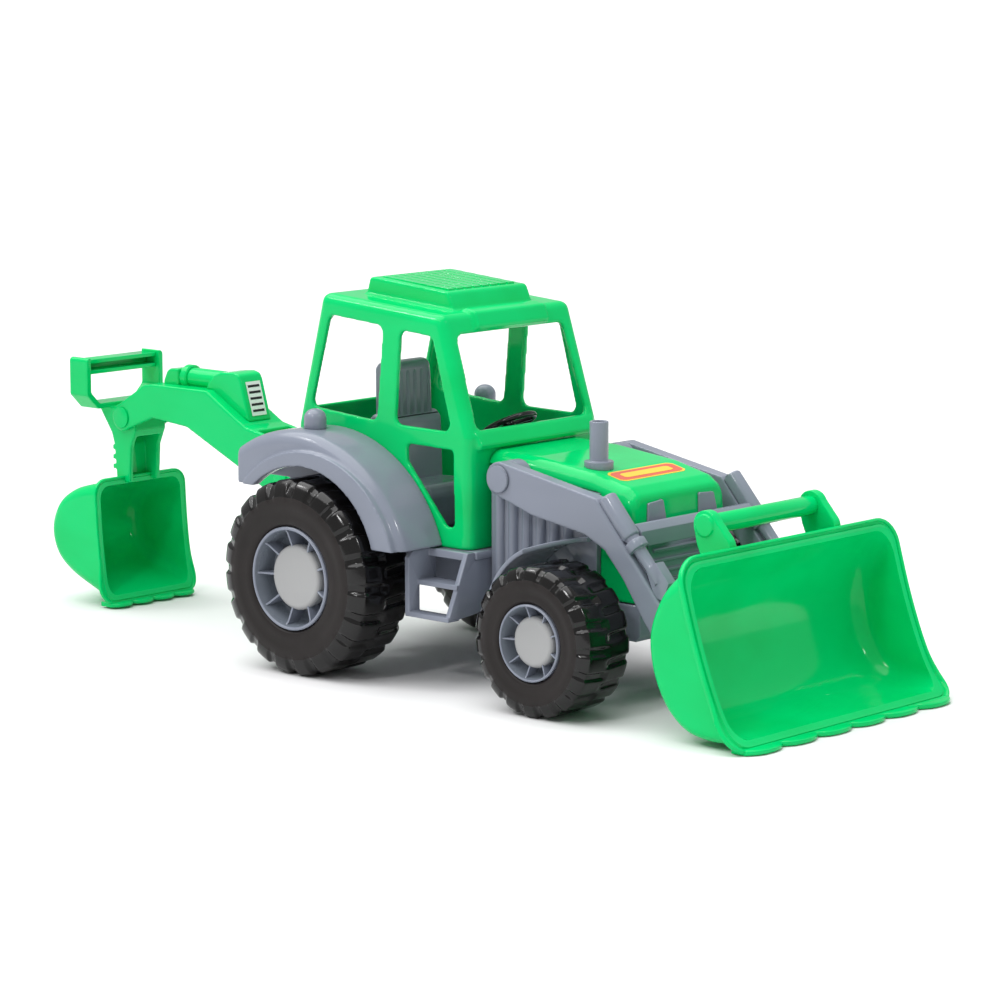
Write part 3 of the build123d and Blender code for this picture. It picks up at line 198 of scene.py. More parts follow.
@dataclass(frozen=True)
class MouldedPlastic:
    """Injection-moulded plastic: even colour with faint flow marks, an orange-peel skin and soft gloss.

    Attributes:
        name: Name of the material.
        colour: Main linear colour.
        deep_colour: Linear colour where the plastic looks a little denser.
        roughness: Lowest and highest roughness over the surface.
        peel_depth: Height of the fine orange-peel skin, in metres.
        sink_depth: Height of the broad sink marks over ribs and bosses, in metres.
        mirror: Strength of the mirror-like share of the reflection.
        translucency: Share of light that passes through the thin walls.
    """

    name: str
    colour: Colour
    deep_colour: Colour
    roughness: Point2
    peel_depth: float
    sink_depth: float
    mirror: float
    translucency: float = 0.0

    def material(self) -> bpy.types.Material:
        """Build the finish's node material.

        Returns:
            The new material.
        """
        board = NodeBoard(self.name)
        flow = board.noise(0.045, 2.0, (1.6, 1.0, 0.7))
        tint = board.blend_colours(flow, self.deep_colour, self.colour, (0.36, 0.6))
        board.join(tint, "Color", board.shader, "Base Color")
        smears = board.noise(0.012, 4.0, (1.0, 1.0, 2.5))
        gloss = board.spread(smears, *self.roughness)
        board.join(gloss, "Result", board.shader, "Roughness")
        sink = board.bump(board.noise(0.028, 1.0), self.sink_depth)
        peel = board.bump(board.noise(0.0011, 2.0), self.peel_depth, sink)
        board.join(peel, "Normal", board.shader, "Normal")
        board.shader.inputs["IOR"].default_value = 1.49
        board.shader.inputs["Specular IOR Level"].default_value = self.mirror
        board.shader.inputs["Subsurface Weight"].default_value = self.translucency
        board.shader.inputs["Subsurface Radius"].default_value = (0.6, 1.0, 0.7)
        board.shader.inputs["Subsurface Scale"].default_value = 0.004
        return board.material


@dataclass(frozen=True)
class BrushedSteel:
    """Zinc-plated steel rod or screw with fine draw lines along Y.

    Attributes:
        name: Name of the material.
        colour: Main linear colour.
        dull_colour: Linear colour of the duller patches.
    """

    name: str
    colour: Colour
    dull_colour: Colour

    def material(self) -> bpy.types.Material:
        """Build the finish's node material.

        Returns:
            The new material.
        """
        board = NodeBoard(self.name)
        lines = board.noise(0.0012, 3.0, (1.0, 14.0, 1.0))
        tint = board.blend_colours(lines, self.dull_colour, self.colour, (0.35, 0.65))
        board.join(tint, "Color", board.shader, "Base Color")
        gloss = board.spread(lines, 0.24, 0.42)
        board.join(gloss, "Result", board.shader, "Roughness")
        board.join(board.bump(lines, 0.00002), "Normal", board.shader, "Normal")
        board.shader.inputs["Metallic"].default_value = 1.0
        return board.material


GREEN = MouldedPlastic(
    name="bright_green_plastic",
    colour=(0.0005, 0.600, 0.160),
    deep_colour=(0.0005, 0.545, 0.135),
    roughness=(0.07, 0.14),
    peel_depth=0.000002,
    sink_depth=0.00006,
    mirror=0.19,
    translucency=0.05,
)
GREY = MouldedPlastic(
    name="blue_grey_plastic",
    colour=(0.235, 0.258, 0.318),
    deep_colour=(0.215, 0.238, 0.294),
    roughness=(0.11, 0.22),
    peel_depth=0.000003,
    sink_depth=0.00006,
    mirror=0.34,
)
CAP_GREY = MouldedPlastic(
    name="pale_grey_cap_plastic",
    colour=(0.375, 0.378, 0.380),
    deep_colour=(0.350, 0.354, 0.357),
    roughness=(0.34, 0.46),
    peel_depth=0.000012,
    sink_depth=0.00004,
    mirror=0.25,
)
# Darker grey painted on the rim's sunk dish to stand in for its shade (painted shade).
PAINTED_SHADE_RIM_GREY = MouldedPlastic(
    name="shaded_grey_plastic",
    colour=(0.150, 0.172, 0.205),
    deep_colour=(0.132, 0.152, 0.182),
    roughness=(0.22, 0.34),
    peel_depth=0.000006,
    sink_depth=0.00006,
    mirror=0.28,
)
BLACK = MouldedPlastic(
    name="gloss_black_plastic",
    colour=(0.012, 0.012, 0.013),
    deep_colour=(0.008, 0.008, 0.009),
    roughness=(0.14, 0.24),
    peel_depth=0.000008,
    sink_depth=0.00005,
    mirror=0.4,
)
TREAD = MouldedPlastic(
    name="gloss_black_tread",
    colour=(0.0050, 0.0045, 0.0045),
    deep_colour=(0.0035, 0.0032, 0.0032),
    roughness=(0.10, 0.20),
    peel_depth=0.000014,
    sink_depth=0.00018,
    mirror=0.42,
)
SIDEWALL = MouldedPlastic(
    name="satin_black_sidewall",
    colour=(0.0200, 0.0165, 0.0160),
    deep_colour=(0.0150, 0.0125, 0.0120),
    roughness=(0.40, 0.55),
    peel_depth=0.000012,
    sink_depth=0.00010,
    mirror=0.22,
)
BANNER_RED = MouldedPlastic(
    name="banner_red_film",
    colour=(0.72, 0.13, 0.07),
    deep_colour=(0.66, 0.11, 0.06),
    roughness=(0.16, 0.26),
    peel_depth=0.000003,
    sink_depth=0.00004,
    mirror=0.4,
)
BANNER_YELLOW = MouldedPlastic(
    name="banner_yellow_film",
    colour=(0.90, 0.60, 0.05),
    deep_colour=(0.86, 0.56, 0.04),
    roughness=(0.16, 0.26),
    peel_depth=0.000003,
    sink_depth=0.00004,
    mirror=0.4,
)
LABEL_WHITE = MouldedPlastic(
    name="label_white_film",
    colour=(0.86, 0.86, 0.86),
    deep_colour=(0.82, 0.82, 0.82),
    roughness=(0.18, 0.28),
    peel_depth=0.000003,
    sink_depth=0.00004,
    mirror=0.4,
)
STEEL = BrushedSteel("zinc_plated_steel", (0.62, 0.61, 0.58), (0.45, 0.45, 0.44))


class FinishShelf:
    """Keeps one material for each finish, made when it is first asked for."""

    def __init__(self) -> None:
        """Start with no materials."""
        self.made: dict[str, bpy.types.Material] = {}

    def take(self, finish: MouldedPlastic | BrushedSteel) -> bpy.types.Material:
        """Return the finish's material."""
        if finish.name not in self.made:
            self.made[finish.name] = finish.material()
        return self.made[finish.name]


SHELF = FinishShelf()


# ------------------------------------------------------------------------------ mesh helpers
def add_object(name: str, mesh: bmesh.types.BMesh, crease: float = 180.0) -> bpy.types.Object:
    """Turn a finished bmesh into a smooth-shaded object.

    Args:
        name: Name of the piece.
        mesh: The bmesh, which is freed.
        crease: Edges that bend by more than this, in degrees, stay crisp in shading.

    Returns:
        The new object, linked to the scene.
    """
    bmesh.ops.recalc_face_normals(mesh, faces=mesh.faces)
    data = bpy.data.meshes.new(name)
    mesh.to_mesh(data)
    mesh.free()
    data.shade_smooth()
    if crease < 180.0:
        data.set_sharp_from_angle(angle=math.radians(crease))
    made = bpy.data.objects.new(name, data)
    bpy.context.scene.collection.objects.link(made)
    return made


def even_points(line: Sequence[Point2], count: int) -> list[Point2]:
    """Pick points evenly along a line.

    Args:
        line: Corners of the line.
        count: Number of points, the line's two ends among them.

    Returns:
        The points.
    """
    reached = [0.0]
    for (x0, z0), (x1, z1) in zip(line, line[1:]):
        reached.append(reached[-1] + math.hypot(x1 - x0, z1 - z0))
    points = []
    span = 0
    for index in range(count):
        goal = reached[-1] * index / (count - 1)
        while span < len(line) - 2 and reached[span + 1] < goal:
            span += 1
        share = (goal - reached[span]) / max(reached[span + 1] - reached[span], 1e-9)
        (x0, z0), (x1, z1) = line[span], line[span + 1]
        points.append((x0 + (x1 - x0) * share, z0 + (z1 - z0) * share))
    return points


def smooth_line(corners: Sequence[Point2], count: int) -> list[Point2]:
    """Draw a smooth line through the corners and pick points evenly along it.

    Args:
        corners: Points that the line passes through.
        count: Number of points, the line's two ends among them.

    Returns:
        The points.
    """
    ends = [
        (2 * corners[0][0] - corners[1][0], 2 * corners[0][1] - corners[1][1]),
        *corners,
        (2 * corners[-1][0] - corners[-2][0], 2 * corners[-1][1] - corners[-2][1]),
    ]
    dense = []
    per_span = 24
    for before, start, end, after in zip(ends, ends[1:], ends[2:], ends[3:]):
        for step in range(per_span):
            t = step / per_span
            point = [
                0.5
                * (
                    2 * b
                    + (c - a) * t
                    + (2 * a - 5 * b + 4 * c - d) * t * t
                    + (3 * b - a - 3 * c + d) * t * t * t
                )
                for a, b, c, d in zip(before, start, end, after)
            ]
            dense.append((point[0], point[1]))
    dense.append(tuple(corners[-1]))
    return even_points(dense, count)


def line_normals(line: Sequence[Point2]) -> list[Point2]:
    """Work out the unit normal at each point, to the left of the line's direction.

    Args:
        line: Points of the line.

    Returns:
        One normal for each point.
    """
    normals = []
    for index in range(len(line)):
        x0, z0 = line[max(index - 1, 0)]
        x1, z1 = line[min(index + 1, len(line) - 1)]
        length = max(math.hypot(x1 - x0, z1 - z0), 1e-9)
        normals.append((-(z1 - z0) / length, (x1 - x0) / length))
    return normals


def nearest(line: Sequence[Point2], x: float, z: float) -> int:
    """Return the index of the line's point that lies nearest to a place."""
    return min(range(len(line)), key=lambda i: math.hypot(line[i][0] - x, line[i][1] - z))


def bridge(
    mesh: bmesh.types.BMesh,
    one: Sequence[bmesh.types.BMVert],
    other: Sequence[bmesh.types.BMVert],
    closed: bool = False,
) -> list[bmesh.types.BMFace]:
    """Join two rows of vertices with a strip of four-cornered faces.

    Args:
        mesh: Mesh that the faces are added to.
        one: First row.
        other: Second row, as long as the first.
        closed: Whether the last vertex of each row joins its first.

    Returns:
        The new faces, in the rows' order.
    """
    faces = []
    for index in range(len(one) if closed else len(one) - 1):
        ahead = (index + 1) % len(one)
        faces.append(mesh.faces.new((one[index], one[ahead], other[ahead], other[index])))
    return faces


def add_plate(
    mesh: bmesh.types.BMesh, outline: Sequence[Point2], low_y: float, high_y: float
) -> None:
    """Add a flat plate with a side outline, all in millimetres.

    Args:
        mesh: Mesh that the plate is added to.
        outline: Corners as (X, Z).
        low_y: Y of the right-hand face.
        high_y: Y of the left-hand face.
    """
    low = [mesh.verts.new((x * MM, low_y * MM, z * MM)) for x, z in outline]
    high = [mesh.verts.new((x * MM, high_y * MM, z * MM)) for x, z in outline]
    mesh.faces.new(low)
    mesh.faces.new(list(reversed(high)))
    for index in range(len(outline)):
        ahead = (index + 1) % len(outline)
        mesh.faces.new((low[index], high[index], high[ahead], low[ahead]))


def add_turned(
    mesh: bmesh.types.BMesh,
    foot: Vector,
    axis: Vector,
    profile: Sequence[Point2],
    around: int = 64,
    closed: bool = False,
) -> None:
    """Add a turned shape, all in millimetres.

    Args:
        mesh: Mesh that the shape is added to.
        foot: Point on the axis where the height is zero.
        axis: Direction of the height.
        profile: Radius and height of each ring; a radius of zero closes the shape.
        around: Number of points round the axis.
        closed: Whether the last ring joins the first.
    """
    along = axis.normalized()
    across = along.orthogonal().normalized()
    third = along.cross(across)
    rings = []
    for radius, height in profile:
        middle = foot + along * height
        if radius == 0:
            rings.append([mesh.verts.new(middle * MM)])
            continue
        ring = []
        for index in range(around):
            angle = 2 * math.pi * index / around
            arm = across * math.cos(angle) + third * math.sin(angle)
            ring.append(mesh.verts.new((middle + arm * radius) * MM))
        rings.append(ring)
    pairs = list(zip(rings, rings[1:]))
    if closed:
        pairs.append((rings[-1], rings[0]))
    for ring, following in pairs:
        if len(ring) == len(following):
            bridge(mesh, ring, following, closed=True)
            continue
        for index in range(around):
            ahead = (index + 1) % around
            if len(ring) == 1:
                mesh.faces.new((ring[0], following[ahead], following[index]))
            else:
                mesh.faces.new((ring[index], ring[ahead], following[0]))


def paint(piece: bpy.types.Object, *finishes: MouldedPlastic | BrushedSteel) -> None:
    """Give a piece its finishes, one for each material index."""
    for finish in finishes:
        piece.data.materials.append(SHELF.take(finish))


def bind(piece: bpy.types.Object, body: str, nodes: Iterable[str]) -> None:
    """Ride a piece on its body and hide the CAD nodes that it stands for.

    Args:
        piece: The visible piece.
        body: CAD body that it rides on.
        nodes: CAD nodes that it stands for.
    """
    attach(piece, body)
    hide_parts(*nodes)
    log.info("%s stands for %s on %s", piece.name, ", ".join(nodes), body)


@dataclass(frozen=True)
class EdgeRounding:
    """How a moulding's edges are rounded.

    Attributes:
        radius: Width of the rounding, in metres.
        steps: Number of faces across the rounding.
        sharpest: Edges that bend by more than this, in degrees, are rounded.
    """

    radius: float
    steps: int = 3
    sharpest: float = 32.0

    def apply_to(self, piece: bpy.types.Object) -> None:
        """Add the rounding to a piece, with flat faces kept flat in shading.

        Args:
            piece: Piece that gets the modifier.
        """
        bevel = piece.modifiers.new("rounded_edges", "BEVEL")
        bevel.width = self.radius
        bevel.segments = self.steps
        bevel.limit_method = "ANGLE"
        bevel.angle_limit = math.radians(self.sharpest)
        bevel.use_clamp_overlap = False
        bevel.miter_outer = "MITER_ARC"
        bevel.harden_normals = True


@dataclass(frozen=True)
class SoftSkin:
    """Fine, evenly worn skin that melts every edge of a moulding a little.

    Attributes:
        grain: Size of the skin's faces, in metres.
        passes: Number of smoothing passes.
    """

    grain: float
    passes: int = 6

    def apply_to(self, piece: bpy.types.Object) -> None:
        """Add the skin to a piece.

        Args:
            piece: Piece that gets the two modifiers.
        """
        skin = piece.modifiers.new("fine_skin", "REMESH")
        skin.mode = "VOXEL"
        skin.voxel_size = self.grain
        skin.use_smooth_shade = True
        melt = piece.modifiers.new("melted_edges", "SMOOTH")
        melt.factor = 0.5
        melt.iterations = self.passes


def moulded_copy(node: str, rounding: EdgeRounding | SoftSkin) -> bpy.types.Object:
    """Copy a CAD node's shape into a new piece with clean faces and rounded edges.

    Args:
        node: Name of the CAD node.
        rounding: How the edges are rounded.

    Returns:
        The new piece, named after the node.
    """
    shortest_edge = 0.000004
    flat_within = math.radians(0.6)
    mesh = bmesh.new()
    mesh.from_mesh(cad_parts[node].data)
    bmesh.ops.remove_doubles(mesh, verts=mesh.verts, dist=shortest_edge)
    bmesh.ops.dissolve_degenerate(mesh, edges=mesh.edges, dist=shortest_edge)
    if isinstance(rounding, EdgeRounding):
        bmesh.ops.dissolve_limit(mesh, angle_limit=flat_within, verts=mesh.verts, edges=mesh.edges)
        bmesh.ops.connect_verts_concave(mesh, faces=mesh.faces)
    piece = add_object(f"{node}_moulding", mesh)
    rounding.apply_to(piece)
    return piece


Rounding = float | EdgeRounding | SoftSkin


# ------------------------------------------------------------------------------ sub-assemblies
@dataclass
class MouldedSet:
    """A group of mouldings of one colour on one body, shaped by their CAD nodes.

    Attributes:
        body: CAD body that the pieces ride on.
        slot: Material slot of the record; not used.
        finish: Finish of every piece.
        roundings: Node name and how its edges are softened; a bare number is a radius in metres.
    """

    body: str
    slot: Slot
    finish: MouldedPlastic | BrushedSteel
    roundings: dict[str, Rounding]

    def build(self) -> None:
        """Make every piece of the set."""
        for node, rounding in self.roundings.items():
            if isinstance(rounding, float):
                rounding = EdgeRounding(rounding)
            piece = moulded_copy(node, rounding)
            paint(piece, self.finish)
            bind(piece, self.body, [node])


def both_sides(nodes: dict[str, Rounding]) -> dict[str, Rounding]:
    """Repeat each entry for the left-hand and right-hand node."""
    return {f"{side.word}_{node}": radius for side in Side for node, radius in nodes.items()}


@dataclass
class Studio:
    """Plain pale floor, soft lamps, white surround and the camera.

    Attributes:
        floor_radius: Radius of the round floor.
        focal_length: Camera's focal length, in millimetres.
        camera_place: Camera's position.
        camera_turn: Camera's rotation, in radians.
    """

    floor_radius: float = 14.0
    focal_length: float = 133.55
    camera_place: tuple[float, float, float] = (1.307264, -1.391565, 0.385246)
    camera_turn: tuple[float, float, float] = (math.pi / 2 - 0.159, 0.0, 0.731)

    def build(self) -> None:
        """Make the floor, the surround, the lamps and the camera."""
        self.build_floor()
        self.build_surround()
        self.build_daylight()
        self.build_lamp("key_lamp", (0.3, -1.7, 1.5), 0.20, 6.0)
        self.build_lamp("side_lamp", (1.9, 0.2, 1.6), 0.18, 5.0)
        self.build_lamp("back_lamp", (-1.3, -0.9, 1.7), 0.24, 4.0)
        self.build_camera()

    def build_floor(self) -> None:
        """Make the round floor just under the wheels."""
        mesh = bmesh.new()
        bmesh.ops.create_circle(mesh, cap_ends=True, segments=96, radius=self.floor_radius)
        bmesh.ops.translate(mesh, verts=mesh.verts, vec=(0, 0, -0.0002))
        floor = add_object("floor", mesh)
        board = NodeBoard("pale_floor")
        cloud = board.noise(0.35, 2.0)
        tint = board.blend_colours(cloud, (0.772, 0.772, 0.778), (0.780, 0.780, 0.785), (0.2, 0.8))
        board.join(tint, "Color", board.shader, "Base Color")
        board.join(board.spread(cloud, 0.55, 0.65), "Result", board.shader, "Roughness")
        board.shader.inputs["Specular IOR Level"].default_value = 0.0
        floor.data.materials.append(board.material)

    def build_surround(self) -> None:
        """Make the even white surround."""
        world = bpy.data.worlds.new("white_surround")
        world.use_nodes = True
        background = world.node_tree.nodes["Background"]
        background.inputs["Color"].default_value = (1.0, 1.0, 1.0, 1.0)
        background.inputs["Strength"].default_value = 0.50
        bpy.context.scene.world = world
        bpy.context.scene.view_settings.view_transform = "Standard"

    def build_daylight(self) -> None:
        """Make the broad, soft light from above and the left of the camera."""
        light = bpy.data.lights.new("overhead_light", "SUN")
        light.energy = 3.3
        light.angle = math.radians(75)
        lamp = bpy.data.objects.new("overhead_light", light)
        lamp.rotation_euler = Vector((0.26, 0.12, -0.95)).to_track_quat("-Z", "Y").to_euler()
        bpy.context.scene.collection.objects.link(lamp)

    def build_lamp(self, name: str, place: Sequence[float], size: float, power: float) -> None:
        """Make one soft square lamp that faces the toy's middle.

        Args:
            name: Name of the lamp.
            place: Position of the lamp's middle.
            size: Length of the lamp's side.
            power: Light given out, in watts.
        """
        light = bpy.data.lights.new(name, "AREA")
        light.shape = "SQUARE"
        light.size = size
        light.energy = power
        lamp = bpy.data.objects.new(name, light)
        lamp.location = place
        to_toy = Vector((0.05, 0.0, 0.08)) - Vector(place)
        lamp.rotation_euler = to_toy.to_track_quat("-Z", "Y").to_euler()
        bpy.context.scene.collection.objects.link(lamp)

    def build_camera(self) -> None:
        """Make the camera and hand it to the scene."""
        lens = bpy.data.cameras.new("camera")
        lens.lens = self.focal_length
        lens.sensor_width = 36.0
        lens.clip_start = 0.05
        lens.clip_end = 60.0
        camera = bpy.data.objects.new("camera", lens)
        camera.location = self.camera_place
        camera.rotation_euler = self.camera_turn
        bpy.context.scene.collection.objects.link(camera)
        bpy.context.scene.camera = camera


@dataclass
class Scoop:
    """Bucket moulded as one shell: curved back, flat sides, turned-out rim and low rounded teeth.

    All sizes are in millimetres.

    Attributes:
        node: CAD node that the bucket stands for.
        body: CAD body that it rides on.
        back: Side line of the outer skin, from above the mouth round the back to beyond the lip.
        mouth: Side line of the mouth, from above the top edge down to below the lip.
        half_width: Distance of each side wall's outer face from the middle plane.
        corners: Outer radius between the back and the sides, at the top edge, the middle and the lip.
        hollow: Extra radius of the inner corners.
        wall: Thickness of the shell.
        rim: Profile of the rim as (distance outwards, distance back from the mouth).
        flare: Extra width of the rim at its lower corners, as a share.
        flare_height: Z of the widest place of the rim.
        teeth: Number of teeth.
        tooth_tip: X of the teeth's tips.
        tooth_reach: How far a tooth stands out before the notches.
        tooth_box: Lowest and highest Z of the teeth.
        lugs: Lowest Y of each hinge lug on the back, each 4 wide.
        lug_outline: Side outline of a lug.
        along: Number of points down the skin, from the top edge to the lip.
        arc_steps: Number of steps round each corner.
        flat_steps: Number of steps across the back between the corners.
        mouth_points: Number of points that the mouth's smooth line is drawn with.
    """

    node: str
    body: str
    back: list[Point2]
    mouth: list[Point2]
    half_width: float
    corners: tuple[float, float, float]
    hollow: float
    wall: float
    rim: list[Point2]
    flare: float
    flare_height: float
    teeth: int
    tooth_tip: float
    tooth_reach: float
    tooth_box: Point2
    lugs: tuple[float, ...] = ()
    lug_outline: list[Point2] = field(default_factory=list)
    along: int = 56
    arc_steps: int = 7
    flat_steps: int = 10
    mouth_points: int = 300

    def build(self) -> None:
        """Make the bucket as one piece and dress it."""
        mesh = bmesh.new()
        outer = self.add_skin(mesh, 0.0, 0.0)
        inner = self.add_skin(mesh, self.wall, self.hollow)
        self.join_skins(mesh, outer, inner)
        self.add_rim(mesh, outer)
        self.add_teeth(mesh)
        for low_y in self.lugs:
            add_plate(mesh, self.lug_outline, low_y, low_y + 4.0)
        bmesh.ops.remove_doubles(mesh, verts=mesh.verts, dist=0.000001)
        piece = add_object(f"{self.node}_shell", mesh, 42.0)
        paint(piece, GREEN)
        bind(piece, self.body, [self.node])

    def stations(self) -> list[Point2]:
        """List the stations across the bucket, from the right side wall to the left one.

        Returns:
            The angle in its corner and the share of the half width of each station.
        """
        quarter = [math.pi / 2 * step / self.arc_steps for step in range(self.arc_steps, 0, -1)]
        right = [(angle, -1.0) for angle in quarter]
        flat = [(0.0, -1.0 + 2.0 * step / self.flat_steps) for step in range(self.flat_steps + 1)]
        left = [(angle, 1.0) for angle in reversed(quarter)]
        return right + flat + left

    def trimmed(self, line: Sequence[Point2]) -> list[Point2]:
        """Cut a side line off where it passes the mouth, at both ends.

        Args:
            line: Points of the side line.

        Returns:
            The stretch of the line behind the mouth.
        """
        mouth = smooth_line(self.mouth, 80)
        hits = []
        for index, (a, b) in enumerate(zip(line, line[1:])):
            for c, d in zip(mouth, mouth[1:]):
                place = crossing(a, b, c, d)
                if place is not None:
                    hits.append((index, place))
        first, last = hits[0], hits[-1]
        return [first[1], *line[first[0] + 1 : last[0] + 1], last[1]]

    def corner_at(self, share: float) -> float:
        """Work out the outer corner radius on the way from the top edge to the lip.

        Args:
            share: Share of the way, from 0 to 1.

        Returns:
            The radius.
        """
        top, middle, lip = self.corners
        near_top = 1.0 - soft_step(share, 0.16, 0.32)
        near_lip = soft_step(share, 0.88, 0.24)
        return middle + (top - middle) * near_top + (lip - middle) * near_lip

    def add_skin(self, mesh: bmesh.types.BMesh, depth: float, extra: float) -> dict[str, list]:
        """Add the outer or the inner skin.

        Args:
            mesh: Mesh that the skin is added to.
            depth: Depth of this skin under the outer one.
            extra: Extra radius of this skin's corners, full half-way round the back.

        Returns:
            Rows of vertices across the bucket, and the two side walls' front edges.
        """
        back = smooth_line(self.back, 160)
        normals = line_normals(back)
        rows = []
        count = len(back)

        def radius_at(share: float) -> float:
            """Return this skin's corner radius at a share of the way to the lip."""
            return self.corner_at(share) + extra * math.sin(math.pi * share) ** 0.5

        for angle, sign in self.stations():
            line = []
            for index, ((x, z), (nx, nz)) in enumerate(zip(back, normals)):
                inset = depth + radius_at(index / (count - 1)) * (1.0 - math.cos(angle))
                line.append((x + nx * inset, z + nz * inset))
            line = even_points(self.trimmed(line), self.along)
            row = []
            for index, (x, z) in enumerate(line):
                radius = radius_at(index / (self.along - 1))
                reach = self.half_width - depth - radius * (1.0 - math.sin(angle))
                row.append(mesh.verts.new((x * MM, sign * reach * MM, z * MM)))
            rows.append(row)
        for row, following in zip(rows, rows[1:]):
            bridge(mesh, row, following)
        sides = [self.add_side(mesh, rows[0]), self.add_side(mesh, rows[-1])]
        return {"rows": rows, "sides": sides}

    def add_side(
        self, mesh: bmesh.types.BMesh, row: list[bmesh.types.BMVert]
    ) -> list[bmesh.types.BMVert]:
        """Add one flat side wall between the curved back's edge and the mouth.

        Args:
            mesh: Mesh that the wall is added to.
            row: Vertices along the back's edge.

        Returns:
            Vertices along the mouth.
        """
        mouth = smooth_line(self.mouth, self.mouth_points)
        top, low = row[0].co / MM, row[-1].co / MM
        start, end = nearest(mouth, top.x, top.z), nearest(mouth, low.x, low.z)
        front = even_points(mouth[start : end + 1], self.along)
        rows = [row]
        steps = 6
        for step in range(1, steps + 1):
            share = step / steps
            line = []
            for vert, (x, z) in zip(row, front):
                goal = Vector((x * MM, vert.co.y, z * MM))
                line.append(mesh.verts.new(vert.co.lerp(goal, share)))
            rows.append(line)
        for line, following in zip(rows, rows[1:]):
            bridge(mesh, line, following)
        return rows[-1]

    def join_skins(
        self, mesh: bmesh.types.BMesh, outer: dict[str, list], inner: dict[str, list]
    ) -> None:
        """Close the shell's edge between the two skins all round the mouth.

        Args:
            mesh: Mesh that the edge is added to.
            outer: Outer skin, as add_skin returns it.
            inner: Inner skin, as add_skin returns it.
        """
        for end in (0, -1):
            bridge(mesh, [row[end] for row in outer["rows"]], [row[end] for row in inner["rows"]])
        for one, other in zip(outer["sides"], inner["sides"]):
            bridge(mesh, one, other)

    def mouth_loop(self, outer: dict[str, list]) -> list[tuple[Vector, Vector, Vector]]:
        """Walk once round the outer skin's edge at the mouth.

        Args:
            outer: Outer skin, as add_skin returns it.

        Returns:
            Place, outward direction and backward direction at each point.
        """
        mouth = smooth_line(self.mouth, self.mouth_points)
        normals = line_normals(mouth)
        rows, stations = outer["rows"], self.stations()
        loop = []

        def backwards(place: Vector) -> Vector:
            """Find the direction away from the mouth, into the bucket.

            Args:
                place: Point on the mouth's edge.

            Returns:
                The mouth line's normal on the bucket's side.
            """
            nx, nz = normals[nearest(mouth, place.x, place.z)]
            middle = self.back[len(self.back) // 2]
            inwards = (middle[0] - place.x) * nx + (middle[1] - place.z) * nz
            return Vector((nx, 0, nz)) * (1.0 if inwards > 0 else -1.0)

        def add(vert: bmesh.types.BMVert, outwards: Vector) -> None:
            """Add a point to the loop.

            Args:
                vert: Vertex at the mouth.
                outwards: Rough outward direction, which is squared to the backward one.
            """
            place = vert.co / MM
            back = backwards(place)
            outwards = (outwards - back * outwards.dot(back)).normalized()
            loop.append((place, outwards, back))

        def edge_direction(index: int, end: int) -> Vector:
            """Find the outward direction at one end of a row.

            Args:
                index: Number of the row across the bucket.
                end: 0 for the top edge and -1 for the lip.

            Returns:
                The outward direction.
            """
            row = rows[index]
            one, other = (row[0], row[1]) if end == 0 else (row[-2], row[-1])
            step = other.co - one.co
            normal = Vector((step.z, 0, -step.x)).normalized()
            angle, sign = stations[index]
            return normal * math.cos(angle) + Vector((0, math.copysign(math.sin(angle), sign), 0))

        for index in range(len(rows)):
            add(rows[index][0], edge_direction(index, 0))
        for vert in outer["sides"][1][1:-1]:
            add(vert, Vector((0, 1, 0)))
        for index in reversed(range(len(rows))):
            add(rows[index][-1], edge_direction(index, -1))
        for vert in reversed(outer["sides"][0][1:-1]):
            add(vert, Vector((0, -1, 0)))
        return loop

    def add_rim(self, mesh: bmesh.types.BMesh, outer: dict[str, list]) -> None:
        """Add the turned-out rim round the mouth.

        Args:
            mesh: Mesh that the rim is added to.
            outer: Outer skin, as add_skin returns it.
        """
        rings = []
        floor = self.tooth_box[0]
        flare_fade = 9.0
        for place, outwards, back in self.mouth_loop(outer):
            nearness = math.exp(-(((place.z - self.flare_height) / flare_fade) ** 2))
            swell = 1.0 + self.flare * nearness * abs(outwards.y)
            ring = []
            for out, behind in self.rim:
                stand = out * swell if out > 0 else out
                point = place + outwards * stand + back * behind
                point.z = max(point.z, floor)
                ring.append(mesh.verts.new(point * MM))
            rings.append(ring)
        for ring, following in zip(rings, rings[1:] + rings[:1]):
            bridge(mesh, ring, following, closed=True)

    def add_teeth(self, mesh: bmesh.types.BMesh) -> None:
        """Add the toothed plate under the lip, with rounded front edges.

        Args:
            mesh: Mesh that the plate is added to.
        """
        width = 2 * (self.half_width - 1.0)
        per_tooth = 16
        plate_depth = 9.0
        notch_power = 2.6
        root = self.tooth_tip - self.tooth_reach - plate_depth
        low_z, high_z = self.tooth_box
        rings = []
        for index in range(self.teeth * per_tooth + 1):
            y = -width / 2 + width * index / (self.teeth * per_tooth)
            off = abs((index % per_tooth) / per_tooth - 0.5) * 2.0
            tip = self.tooth_tip - self.tooth_reach * off**notch_power
            ring = []
            for x, z in (
                (root, low_z),
                (tip - 1.0, low_z),
                (tip - 0.2, low_z + 0.5),
                (tip, low_z + 1.1),
                (tip - 0.3, high_z - 0.5),
                (tip - 1.2, high_z),
                (root, high_z),
            ):
                ring.append(mesh.verts.new((x * MM, y * MM, z * MM)))
            rings.append(ring)
        mesh.faces.new(rings[0])
        mesh.faces.new(list(reversed(rings[-1])))
        for ring, following in zip(rings, rings[1:]):
            bridge(mesh, ring, following, closed=True)


